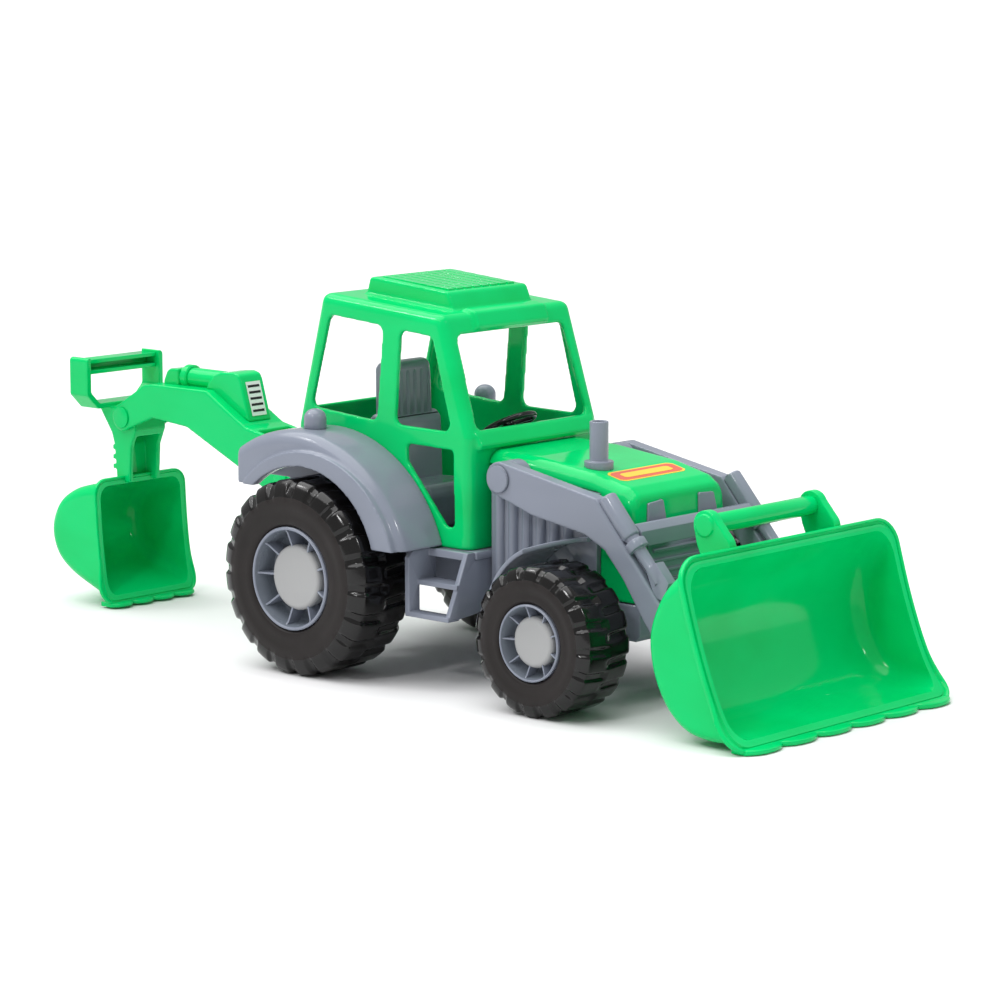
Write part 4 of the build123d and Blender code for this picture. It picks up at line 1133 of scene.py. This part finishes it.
def crossing(a: Point2, b: Point2, c: Point2, d: Point2) -> Point2 | None:
    """Find where two straight stretches cross.

    Args:
        a: Start of the first stretch.
        b: End of the first stretch.
        c: Start of the second stretch.
        d: End of the second stretch.

    Returns:
        The crossing, or None where they don't cross.
    """
    ab = (b[0] - a[0], b[1] - a[1])
    cd = (d[0] - c[0], d[1] - c[1])
    ac = (c[0] - a[0], c[1] - a[1])
    area = ab[0] * cd[1] - ab[1] * cd[0]
    if abs(area) < 1e-12:
        return None
    on_ab = (ac[0] * cd[1] - ac[1] * cd[0]) / area
    on_cd = (ac[0] * ab[1] - ac[1] * ab[0]) / area
    if 0.0 <= on_ab <= 1.0 and 0.0 <= on_cd <= 1.0:
        return (a[0] + ab[0] * on_ab, a[1] + ab[1] * on_ab)
    return None


def make_scoops() -> list[Scoop]:
    """Size the two buckets.

    Returns:
        The loader's wide bucket and the backhoe's narrow one.
    """
    pin_x, pin_z = 213.5, 39.0
    eye_radius = 6.8
    eye_steps = 8
    lug = [(225.6, 50.0), (214.5, 45.7)]
    for step in range(eye_steps + 1):
        angle = math.radians(95 + 170 * step / eye_steps)
        lug.append((pin_x + eye_radius * math.cos(angle), pin_z + eye_radius * math.sin(angle)))
    lug += [(214.5, 31.0), (229.2, 26.5)]
    loader = Scoop(
        node="front_bucket",
        body="loader_bucket",
        back=[
            (256.0, 93.0), (246.0, 85.0), (239.5, 79.5), (231.5, 70.0), (226.2, 57.0),
            (224.4, 45.0), (227.4, 29.5), (235.0, 15.5), (245.5, 6.6), (257.0, 3.4),
            (270.0, 2.9), (282.0, 3.2), (300.0, 3.6),
        ],
        mouth=[
            (243.0, 96.0), (245.0, 86.0), (249.0, 71.0), (255.4, 50.0), (263.4, 29.0),
            (271.6, 13.0), (281.0, 2.8), (290.0, -5.0),
        ],
        half_width=81.6,
        corners=(11.0, 4.5, 7.0),
        hollow=5.0,
        wall=2.4,
        rim=[
            (-1.1, 0.0), (0.3, -0.2), (0.8, 0.7), (1.9, 0.7), (2.2, -0.3), (2.7, -0.7),
            (3.3, -0.5), (3.6, 0.2), (3.6, 1.5), (3.1, 2.2), (0.4, 2.4), (-0.9, 2.2),
        ],
        flare=0.55,
        flare_height=9.0,
        teeth=6,
        tooth_tip=288.1,
        tooth_reach=4.6,
        tooth_box=(0.1, 2.7),
        lugs=(-56.3, -43.7, 39.7, 52.3),
        lug_outline=lug,
    )
    backhoe = Scoop(
        node="rear_bucket",
        body="backhoe_dipper",
        back=[
            (-196.0, 72.5), (-211.0, 69.4), (-222.0, 67.4), (-234.0, 63.6), (-244.6, 56.5), (-250.6, 46.0),
            (-251.0, 35.0), (-245.5, 24.0), (-233.0, 15.4), (-214.0, 8.2), (-201.0, 4.2), (-186.0, 0.0),
        ],
        mouth=[
            (-210.0, 80.0), (-210.6, 70.0), (-210.4, 60.0), (-209.2, 42.0), (-207.4, 26.0),
            (-205.0, 12.0), (-201.6, 3.2), (-197.0, -6.0),
        ],
        half_width=32.2,
        corners=(6.5, 6.0, 5.0),
        hollow=1.5,
        wall=2.0,
        rim=[
            (-0.9, 0.0), (0.2, -0.2), (0.6, 0.3), (1.2, 0.2), (1.5, -0.3), (2.0, -0.1),
            (2.2, 0.5), (2.1, 1.6), (1.6, 2.0), (-0.8, 2.0),
        ],
        flare=0.8,
        flare_height=11.0,
        teeth=4,
        tooth_tip=-196.9,
        tooth_reach=4.2,
        tooth_box=(0.9, 3.2),
    )
    return [loader, backhoe]


@dataclass
class BoomRam:
    """Imitation ram on top of the boom: rear yoke, collar, barrel and wedge-shaped housing with a label.

    All sizes are in millimetres.

    Attributes:
        height: Z of the barrel's axis.
        barrel_ends: X of the barrel's two ends.
        barrel_radius: Radius of the barrel.
        half_width: Half the housing's width.
    """

    height: float = 129.4
    barrel_ends: Point2 = (-173.0, -136.0)
    barrel_radius: float = 5.6
    half_width: float = 8.6

    def build(self) -> None:
        """Make the ram and its label."""
        mesh = bmesh.new()
        foot = Vector((self.barrel_ends[0], 0, self.height))
        length = self.barrel_ends[1] - self.barrel_ends[0]
        radius = self.barrel_radius
        barrel = [(0.0, 0.0), (radius - 0.6, 0.0), (radius, 0.6), (radius, length), (0.0, length)]
        add_turned(mesh, foot, Vector((1, 0, 0)), barrel, 48)
        collar = [(0.0, 2.4), (6.3, 2.4), (7.0, 3.1), (7.0, 6.6), (6.3, 7.3), (0.0, 7.3)]
        add_turned(mesh, foot, Vector((1, 0, 0)), collar, 48)
        ram = add_object("boom_ram_barrel", mesh, 40.0)
        paint(ram, GREEN)
        bind(ram, "backhoe_boom", ["boom_cylinder"])
        blocks = bmesh.new()
        yoke = [
            (-184.0, 124.6), (-183.6, 127.5), (-181.0, 132.6),
            (-178.6, 134.0), (-172.0, 134.4), (-171.6, 124.6),
        ]
        add_plate(blocks, yoke, -6.4, 6.4)
        housing = [
            (-148.5, 125.0), (-146.0, 129.2), (-141.5, 133.6), (-136.5, 135.4), (-126.5, 136.2),
            (-122.6, 135.2), (-120.8, 132.4), (-114.2, 110.2), (-118.0, 111.6), (-142.0, 125.0),
        ]
        add_plate(blocks, housing, -self.half_width, self.half_width)
        block = add_object("boom_ram_housing", blocks)
        EdgeRounding(0.0013, 4, 28.0).apply_to(block)
        paint(block, GREEN)
        bind(block, "backhoe_boom", ["boom_cylinder"])
        self.build_label()

    def build_label(self) -> None:
        """Make the letterless label on the housing's sloped face."""
        top, low = Vector((-120.45, 0, 131.2)), Vector((-115.1, 0, 113.2))
        down = (low - top).normalized()
        out = Vector((-down.z, 0, down.x))
        if out.x < 0:
            out = -out
        mesh = bmesh.new()
        bars = [(0.0, 1.0, -1.0, 1.0, 0.30, 0)]
        bars += [(place, place + 0.07, -0.8, 0.8, 0.40, 1) for place in (0.10, 0.28, 0.46, 0.64, 0.82)]
        length = (low - top).length
        for start, end, left, right, lift, look in bars:
            corners = []
            for share, side in ((start, left), (end, left), (end, right), (start, right)):
                point = top + down * (length * share) + out * lift + Vector((0, side * 5.4, 0))
                corners.append(mesh.verts.new(point * MM))
            face = mesh.faces.new(corners)
            face.material_index = look
        label = add_object("boom_label", mesh)
        paint(label, LABEL_WHITE, BLACK)
        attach(label, "backhoe_boom")
        log.info("%s rides on backhoe_boom", label.name)


@dataclass
class DriverSeat:
    """Moulded seat: cushion block, fluted back rest, stepped shoulders.

    All sizes are in millimetres.

    Attributes:
        half_width: Half the seat's width.
        floor: Z of the seat's foot.
        flutes: Number of upright ribs on the back rest.
    """

    half_width: float = 20.0
    floor: float = 68.0
    flutes: int = 6

    def build(self) -> None:
        """Make the seat and dress it."""
        mesh = bmesh.new()
        cushion = [(-12.0, self.floor), (26.0, self.floor), (29.4, 86.0), (27.0, 91.6), (-10.0, 90.4)]
        add_plate(mesh, cushion, -self.half_width, self.half_width)
        back = [(-14.0, 80.0), (0.0, 80.0), (-2.6, 150.4), (-6.0, 152.6), (-11.4, 152.0), (-14.6, 149.0)]
        add_plate(mesh, back, -15.5, 15.5)
        shoulders = [(-14.4, 84.0), (2.6, 84.0), (1.2, 122.0), (-2.0, 125.4), (-12.0, 125.4), (-14.6, 122.0)]
        add_plate(mesh, shoulders, -self.half_width, self.half_width)
        seat = add_object("seat_block", mesh)
        EdgeRounding(0.0024, 5, 28.0).apply_to(seat)
        paint(seat, GREY)
        bind(seat, "tractor", ["seat"])
        self.build_flutes()

    def build_flutes(self) -> None:
        """Make the upright ribs on the front of the back rest."""
        mesh = bmesh.new()
        pitch = 26.0 / (self.flutes - 1)
        for index in range(self.flutes):
            y = -13.0 + pitch * index
            foot = Vector((-1.2, y, 90.0))
            lean = Vector((-2.4, 0, 58.0))
            tall = lean.length
            profile = [
                (0.0, 0.0), (1.7, 0.0), (1.9, tall * 0.5),
                (1.7, tall - 2.0), (1.1, tall - 0.5), (0.0, tall),
            ]
            add_turned(mesh, foot, lean, profile, 20)
        ribs = add_object("seat_flutes", mesh)
        paint(ribs, GREY)
        bind(ribs, "tractor", ["seat"])


@dataclass
class RoofRibs:
    """Low flat ribs that leave fine fore-and-aft grooves on the roof pad.

    All sizes are in millimetres.

    Attributes:
        front: X and Z of the ribs' front ends on the pad's top.
        back: X and Z of their back ends.
        pitch: Distance from groove to groove.
        gap: Width of a groove.
        count: Number of ribs.
        rise: Height of a rib.
    """

    front: Point2 = (47.0, 193.9)
    back: Point2 = (1.0, 197.8)
    pitch: float = 6.4
    gap: float = 1.4
    count: int = 8
    rise: float = 0.85

    def build(self) -> None:
        """Make the ribs and dress them."""
        mesh = bmesh.new()
        (x0, z0), (x1, z1) = self.front, self.back
        outline = [(x0, z0 - 1.0), (x0, z0 + self.rise), (x1, z1 + self.rise * 0.6), (x1, z1 - 1.0)]
        for index in range(self.count):
            middle = (index - (self.count - 1) / 2) * self.pitch
            half = (self.pitch - self.gap) / 2
            add_plate(mesh, outline, middle - half, middle + half)
        ribs = add_object("roof_ribs", mesh)
        EdgeRounding(0.0003, 2).apply_to(ribs)
        paint(ribs, GREEN)
        bind(ribs, "tractor", ["cab_shell"])


@dataclass
class HoodBanner:
    """Letterless banner sticker that lies on the crowned hood.

    All sizes are in millimetres.

    Attributes:
        middle: X and Y of the banner's middle.
        half_size: Half its size along X and along Y.
        border: Width of the yellow border.
    """

    middle: Point2 = (158.0, -2.0)
    half_size: Point2 = (6.0, 25.0)
    border: float = 1.1

    def build(self) -> None:
        """Make the banner as a thin sheet laid on the hood."""
        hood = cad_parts["hood"].data
        skin = bmesh.new()
        skin.from_mesh(hood)
        tree = BVHTree.FromBMesh(skin)
        mesh = bmesh.new()
        half_x, half_y = self.half_size
        layers = [
            (half_x, half_y, 0.10, 0),
            (half_x - self.border, half_y - self.border, 0.18, 1),
            (half_x * 0.42, half_y * 0.74, 0.26, 2),
        ]
        for half_x, half_y, lift, look in layers:
            self.add_layer(mesh, tree, half_x, half_y, lift, look)
        skin.free()
        banner = add_object("hood_banner", mesh)
        paint(banner, BANNER_YELLOW, BANNER_RED, BANNER_YELLOW)
        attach(banner, "tractor")
        log.info("%s rides on tractor", banner.name)

    def add_layer(
        self,
        mesh: bmesh.types.BMesh,
        tree: BVHTree,
        half_x: float,
        half_y: float,
        lift: float,
        look: int,
    ) -> None:
        """Add one colour of the banner as a grid draped over the hood.

        Args:
            mesh: Mesh that the layer is added to.
            tree: Hood's faces.
            half_x: Half the layer's size along X.
            half_y: Half the layer's size along Y.
            lift: Height over the hood.
            look: Material index.
        """
        across, along = 6, 30
        rows = []
        for i in range(along + 1):
            row = []
            share = 2.0 * i / along - 1.0
            taper = 1.0 - 0.35 * max(abs(share) - 0.9, 0.0) / 0.1
            for j in range(across + 1):
                x = self.middle[0] + half_x * taper * (2.0 * j / across - 1.0)
                y = self.middle[1] + half_y * share
                hit = tree.ray_cast(Vector((x * MM, y * MM, 0.2)), Vector((0, 0, -1)))
                height = hit[0].z if hit[0] is not None else 0.11
                row.append(mesh.verts.new((x * MM, y * MM, height + lift * MM)))
            rows.append(row)
        for row, following in zip(rows, rows[1:]):
            for face in bridge(mesh, row, following):
                face.material_index = look


@dataclass(frozen=True)
class TreadPattern:
    """Moulded lugs of a tyre, as waves on its outer skin.

    Attributes:
        lugs: Number of lugs round each half of the tyre.
        depth: Height of a lug over the groove, in metres.
        share: Share of the pitch that a lug fills.
        softness: Width of a lug's flank, as a share of the pitch.
        sweep: How far a lug leans round the tyre from shoulder to middle, as a share of the pitch.
    """

    lugs: int
    depth: float
    share: float = 0.68
    softness: float = 0.15
    sweep: float = 0.12


def soft_step(value: float, middle: float, width: float) -> float:
    """Rise smoothly from 0 to 1 round a middle value.

    Args:
        value: Value on the way.
        middle: Value where half the rise is reached.
        width: Width of the rise.

    Returns:
        The height reached, from 0 to 1.
    """
    share = min(max((value - middle) / width + 0.5, 0.0), 1.0)
    return share * share * (3.0 - 2.0 * share)


@dataclass
class Wheel:
    """One wheel: hollow tyre with moulded lugs, rim insert and hub cap.

    Attributes:
        end: Axle that the wheel turns on.
        side: Side of the toy.
        axle_x: X of the axle.
        radius: Radius over the lugs.
        outer_face: Distance of the outer side wall from the middle plane.
        inner_face: Distance of the inner side wall from the middle plane.
        bead_radius: Radius of the rim's seat.
        rim_face: Distance of the rim's outer ring from the middle plane.
        cap_radius: Radius of the hub cap.
        cap_face: Distance of the hub cap's face from the middle plane.
        tread: The lugs.
        ribs: Number of ribs in the rim.
        around: Number of points round the tyre.
    """

    end: End
    side: Side
    axle_x: float
    radius: float
    outer_face: float
    inner_face: float
    bead_radius: float
    rim_face: float
    cap_radius: float
    cap_face: float
    tread: TreadPattern
    ribs: int = 9
    around: int = 480

    @property
    def body(self) -> str:
        """Name of the wheel's CAD body."""
        return self.named("wheel")

    def named(self, part: str) -> str:
        """Return a part's name with the wheel's side and end before it."""
        return f"{self.side.word}_{self.end.value}_{part}"

    def build(self) -> None:
        """Make the tyre, the rim and the cap."""
        self.build_tyre()
        self.build_rim()
        self.build_cap()

    @property
    def hub(self) -> Vector:
        """Middle of the wheel on the toy's middle plane, in millimetres."""
        return Vector((self.axle_x / MM, 0.0, self.radius / MM))

    @property
    def outwards(self) -> Vector:
        """Direction from the toy to the wheel's outer face."""
        return Vector((0.0, float(self.side.value), 0.0))

    def build_rim(self) -> None:
        """Make the dished rim with its thin ring and its ribs, the sunk dish painted a darker grey as shade.
        """
        edge, face, back = self.bead_radius / MM, self.rim_face / MM, self.inner_face / MM
        cap, scale = self.cap_radius / MM, self.bead_radius / REAR_BEAD_RADIUS
        floor = face - 13.5 * scale
        profile = [
            (0.0, floor),
            (cap - 1.6, floor),
            (cap + 2.2 * scale, floor - 0.3),
            (edge - 3.6 * scale, floor + 1.6),
            (edge - 2.4 * scale, floor + 4.5),
            (edge - 1.7 * scale, face - 0.5),
            (edge - 1.3 * scale, face - 0.05),
            (edge - 0.5, face),
            (edge, face - 0.5),
            (edge, back + 1.0),
            (edge - 0.4, back + 0.6),
            (edge - 1.8, back + 0.6),
            (edge - 1.8, floor - 2.4),
            (0.0, floor - 2.4),
        ]
        mesh = bmesh.new()
        add_turned(mesh, self.hub, self.outwards, profile, 96)
        bore = 3.2
        tube = [
            (bore, back + 0.6), (5.6 * scale, back + 0.6), (6.2 * scale, floor - 2.0), (bore, floor - 2.0),
        ]
        add_turned(mesh, self.hub, self.outwards, tube, 40, closed=True)
        # Painted shade: faces inside the ring's inner edge take the darker grey that stands in for the
        # dish's shade.
        for part in mesh.faces:
            middle = (part.calc_center_median() / MM) - self.hub
            reach = math.hypot(middle.x, middle.z)
            part.material_index = 0 if reach > edge - 2.0 * scale else 1
        self.add_ribs(mesh, floor, face, scale)
        rim = add_object(self.named("rim_dish"), mesh, 38.0)
        paint(rim, GREY, PAINTED_SHADE_RIM_GREY)
        bind(rim, self.body, [self.named("rim")])

    def add_ribs(self, mesh: bmesh.types.BMesh, floor: float, face: float, scale: float) -> None:
        """Add the thin ribs that run from the cap out to the ring.

        Args:
            mesh: Mesh that the ribs are added to.
            floor: Distance of the dish's floor from the middle plane.
            face: Distance of the ring's face from the middle plane.
            scale: Size of this rim beside the rear one.
        """
        cap, edge = self.cap_radius / MM, self.bead_radius / MM
        side = [
            (cap - 1.0, floor - 0.5),
            (edge - 1.6 * scale, floor + 1.0),
            (edge - 1.6 * scale, face - 2.0 * scale),
            (edge - 3.2 * scale, face - 3.4 * scale),
            (cap - 1.0, face - 5.4 * scale),
        ]
        half = 0.5 * scale
        for index in range(self.ribs):
            angle = 2 * math.pi * (index + 0.5) / self.ribs
            radial = Vector((math.cos(angle), 0.0, math.sin(angle)))
            across = Vector((-math.sin(angle), 0.0, math.cos(angle)))
            sheets = []
            for sign in (-1, 1):
                sheet = []
                for reach, height in side:
                    foot = self.hub + radial * reach + across * sign * half
                    sheet.append(mesh.verts.new((foot + self.outwards * height) * MM))
                sheets.append(sheet)
            mesh.faces.new(sheets[0])
            mesh.faces.new(list(reversed(sheets[1])))
            for step in range(len(side)):
                ahead = (step + 1) % len(side)
                mesh.faces.new((sheets[0][step], sheets[1][step], sheets[1][ahead], sheets[0][ahead]))

    def build_cap(self) -> None:
        """Make the pale hub cap with its rounded edge and slightly sunk face."""
        cap, face = self.cap_radius / MM, self.cap_face / MM
        profile = [
            (0.0, face - 0.25),
            (cap - 3.4, face - 0.25),
            (cap - 2.8, face - 0.05),
            (cap - 2.0, face),
            (cap - 1.1, face - 0.2),
            (cap - 0.4, face - 0.8),
            (cap - 0.05, face - 1.7),
            (cap, face - 2.6),
            (cap - 0.3, face - 6.5),
            (0.0, face - 6.5),
        ]
        mesh = bmesh.new()
        add_turned(mesh, self.hub, self.outwards, profile, 96)
        cap_piece = add_object(self.named("cap_disc"), mesh, 60.0)
        paint(cap_piece, CAP_GREY)
        bind(cap_piece, self.body, [self.named("hub_cap")])

    def section(self) -> list[tuple[float, float, float]]:
        """Draw the tyre's section from the outer bead over the tread to the inner bead.

        Returns:
            Distance from the toy's middle plane, radius and lug share of each point.
        """
        out, inner, top, low = self.outer_face, self.inner_face, self.radius, self.bead_radius
        width = out - inner
        drop = 0.20 * top
        run = 0.12 * top
        steps = 8
        points: list[tuple[float, float, float]] = []

        def side_wall(face: float, sign: float) -> list[tuple[float, float, float]]:
            """Draw one side wall from its bead to the shoulder.

            Args:
                face: Distance of the wall's face from the middle plane.
                sign: 1 for the outer wall and -1 for the inner one.

            Returns:
                The wall's points.
            """
            bulge = sign * 0.0016
            return [
                (face - sign * 0.0030, low, 0.0),
                (face - sign * 0.0012, low + 0.0008, 0.0),
                (face - sign * 0.0003, low + 0.0022, 0.0),
                (face - bulge * 0.6, low + 0.22 * (top - low), 0.0),
                (face - bulge * 0.1, low + 0.40 * (top - low), 0.0),
                (face, low + 0.52 * (top - low), 0.0),
                (face - bulge * 0.1, top - drop * 1.05, 0.0),
            ]

        def shoulder(step: int) -> tuple[float, float, float]:
            """Work out one point of a shoulder.

            Args:
                step: Number of the point, from the side wall up.

            Returns:
                How far it lies in from the wall, its radius and its lug share.
            """
            angle = math.pi / 2 * step / steps
            inset = run * (1 - math.cos(angle)) ** 0.9
            return inset, top - drop + drop * math.sin(angle) ** 1.15, min(1.0, step / 3)

        points += side_wall(out, 1.0)
        for step in range(1, steps + 1):
            inset, radius, share = shoulder(step)
            points.append((out - inset, radius, share))
        across = 14
        for step in range(1, across):
            y = out - run - (width - 2 * run) * step / across
            points.append((y, top, 1.0))
        for step in range(steps, 0, -1):
            inset, radius, share = shoulder(step)
            points.append((inner + inset, radius, share))
        points += reversed(side_wall(inner, -1.0))
        return points

    def lug_height(self, turn: float, y: float) -> float:
        """Work out how far a place stands up on the tread.

        Args:
            turn: Place round the tyre, from 0 to 1.
            y: Distance from the middle plane of the toy.

        Returns:
            1 on a lug and 0 in a groove.
        """
        pattern = self.tread
        middle = (self.outer_face + self.inner_face) / 2
        half = (self.outer_face - self.inner_face) / 2
        reach = abs(y - middle) / half
        offset = 0.0 if y > middle else 0.5
        phase = (turn * pattern.lugs + offset + pattern.sweep * (1.0 - reach)) % 1.0
        rise = soft_step(phase, 0.5 - pattern.share / 2, pattern.softness)
        fall = 1.0 - soft_step(phase, 0.5 + pattern.share / 2, pattern.softness)
        return rise * fall

    def build_tyre(self) -> None:
        """Make the tyre as one closed skin with lugs that wrap over both shoulders."""
        mesh = bmesh.new()
        section = self.section()
        middle = (self.outer_face + self.inner_face) / 2
        sign = self.side.value
        inner_wall = 0.003
        hollow_radius = self.radius * 0.78
        lean_radius = self.radius * 0.62
        seam_height, seam_width = 0.0006, 0.0008
        rings: list[list[bmesh.types.BMVert]] = []
        for index in range(self.around):
            turn = index / self.around
            angle = 2 * math.pi * turn
            ring = []
            for y, r, share in section:
                lug = self.lug_height(turn, y)
                dip = self.tread.depth * share * (1.0 - lug)
                seam = seam_height * share * math.exp(-(((y - middle) / seam_width) ** 2)) * (1.0 - lug)
                outwards = Vector((y - middle, r - lean_radius))
                outwards.normalize()
                y_in = y - outwards.x * dip * 0.7
                r_in = r - outwards.y * dip + seam
                x, z = self.axle_x + r_in * math.cos(angle), self.radius + r_in * math.sin(angle)
                ring.append(mesh.verts.new((x, sign * y_in, z)))
            for y, r in (
                (self.inner_face + inner_wall, self.bead_radius),
                (self.inner_face + inner_wall, hollow_radius),
                (self.outer_face - inner_wall, hollow_radius),
                (self.outer_face - inner_wall, self.bead_radius),
            ):
                x, z = self.axle_x + r * math.cos(angle), self.radius + r * math.sin(angle)
                ring.append(mesh.verts.new((x, sign * y, z)))
            rings.append(ring)
        wall_faces = 7
        outer_count = len(section)
        for ring, following in zip(rings, rings[1:] + rings[:1]):
            for step, face in enumerate(bridge(mesh, ring, following, closed=True)):
                on_wall = step < wall_faces or step >= outer_count - wall_faces - 1
                face.material_index = 1 if on_wall else 0
        node = self.named("tyre")
        tyre = add_object(f"{node}_lugged", mesh)
        paint(tyre, TREAD, SIDEWALL)
        bind(tyre, self.body, [node])


def make_wheels() -> list[Wheel]:
    """Size the four wheels.

    Returns:
        The rear and front wheel of the left side, then those of the right side.
    """
    rear = {
        "end": End.REAR,
        "axle_x": 0.0,
        "radius": 0.050,
        "outer_face": 0.0936,
        "inner_face": 0.053,
        "bead_radius": REAR_BEAD_RADIUS,
        "rim_face": 0.0932,
        "cap_radius": 0.0167,
        "cap_face": 0.0884,
        "tread": TreadPattern(lugs=20, depth=0.0017),
    }
    front = {
        "end": End.FRONT,
        "axle_x": 0.156,
        "radius": 0.0368,
        "outer_face": 0.088,
        "inner_face": 0.0526,
        "bead_radius": 0.0189,
        "rim_face": 0.0878,
        "cap_radius": 0.0126,
        "cap_face": 0.0844,
        "tread": TreadPattern(lugs=18, depth=0.0014),
    }
    return [Wheel(side=side, **sizes) for side in Side for sizes in (rear, front)]


def make_mouldings() -> list[MouldedSet]:
    """List every set of mouldings that keeps its CAD shape.

    Returns:
        The sets, in the order in which they are built.
    """
    tractor_green = {"cab_shell": SoftSkin(0.00078, 7), "hood": SoftSkin(0.0007, 8)}
    tractor_grey = {
        "chassis": 0.0008,
        "nose_grille": 0.0004,
        "exhaust_stack": 0.0004,
        "dashboard": 0.0015,
    }
    paired_grey = {
        "rear_fender": SoftSkin(0.0007, 6),
        "marker_light": 0.0004,
        "step": 0.0005,
        "engine_panel": 0.0006,
        "arm_pin": 0.0004,
        "mudguard": 0.0006,
    }
    tractor_grey.update(both_sides(paired_grey))
    steelwork = {"rear_axle": 0.0002, "front_axle": 0.0002, "axle_clips": 0.0002, "body_screws": 0.0002}
    frame_grey = both_sides({"loader_arm": SoftSkin(0.00058, 7), "lift_cylinder": 0.0004})
    frame_grey["loader_crossbar"] = 0.0006
    bucket_green = both_sides({"bucket_bracket": SoftSkin(0.0004, 8)})
    bucket_green.update({"bucket_handle_bar": 0.0003, "bucket_pins": 0.0003})
    boom_green = {"boom": SoftSkin(0.00058, 6), "boom_foot_pin": 0.0003, "dipper_pin": 0.0003}
    dipper_green = {"dipper": SoftSkin(0.00045, 6), "dipper_grip": 0.0004}
    return [
        MouldedSet("tractor", Slot.GREEN, GREEN, tractor_green),
        MouldedSet("tractor", Slot.GREEN, GREEN, {"rear_hitch": 0.0008, "swing_pin": 0.0003}),
        MouldedSet("tractor", Slot.GREY, GREY, tractor_grey),
        MouldedSet("tractor", Slot.STEEL, STEEL, steelwork),
        MouldedSet("steering", Slot.BLACK, BLACK, {"steering_wheel": 0.0004}),
        MouldedSet("loader_frame", Slot.GREY, GREY, frame_grey),
        MouldedSet("loader_bucket", Slot.GREEN, GREEN, bucket_green),
        MouldedSet("backhoe_swivel", Slot.GREEN, GREEN, {"swivel_block": 0.0008}),
        MouldedSet("backhoe_boom", Slot.GREEN, GREEN, boom_green),
        MouldedSet("backhoe_dipper", Slot.GREEN, GREEN, dipper_green),
    ]


def main() -> None:
    """Build every sub-assembly in order, then the studio."""
    logging.basicConfig(level=logging.INFO, format="%(message)s")
    Studio().build()
    for wheel in make_wheels():
        wheel.build()
    for scoop in make_scoops():
        scoop.build()
    BoomRam().build()
    DriverSeat().build()
    RoofRibs().build()
    HoodBanner().build()
    for mouldings in make_mouldings():
        mouldings.build()


if __name__ == "__main__":
    main()
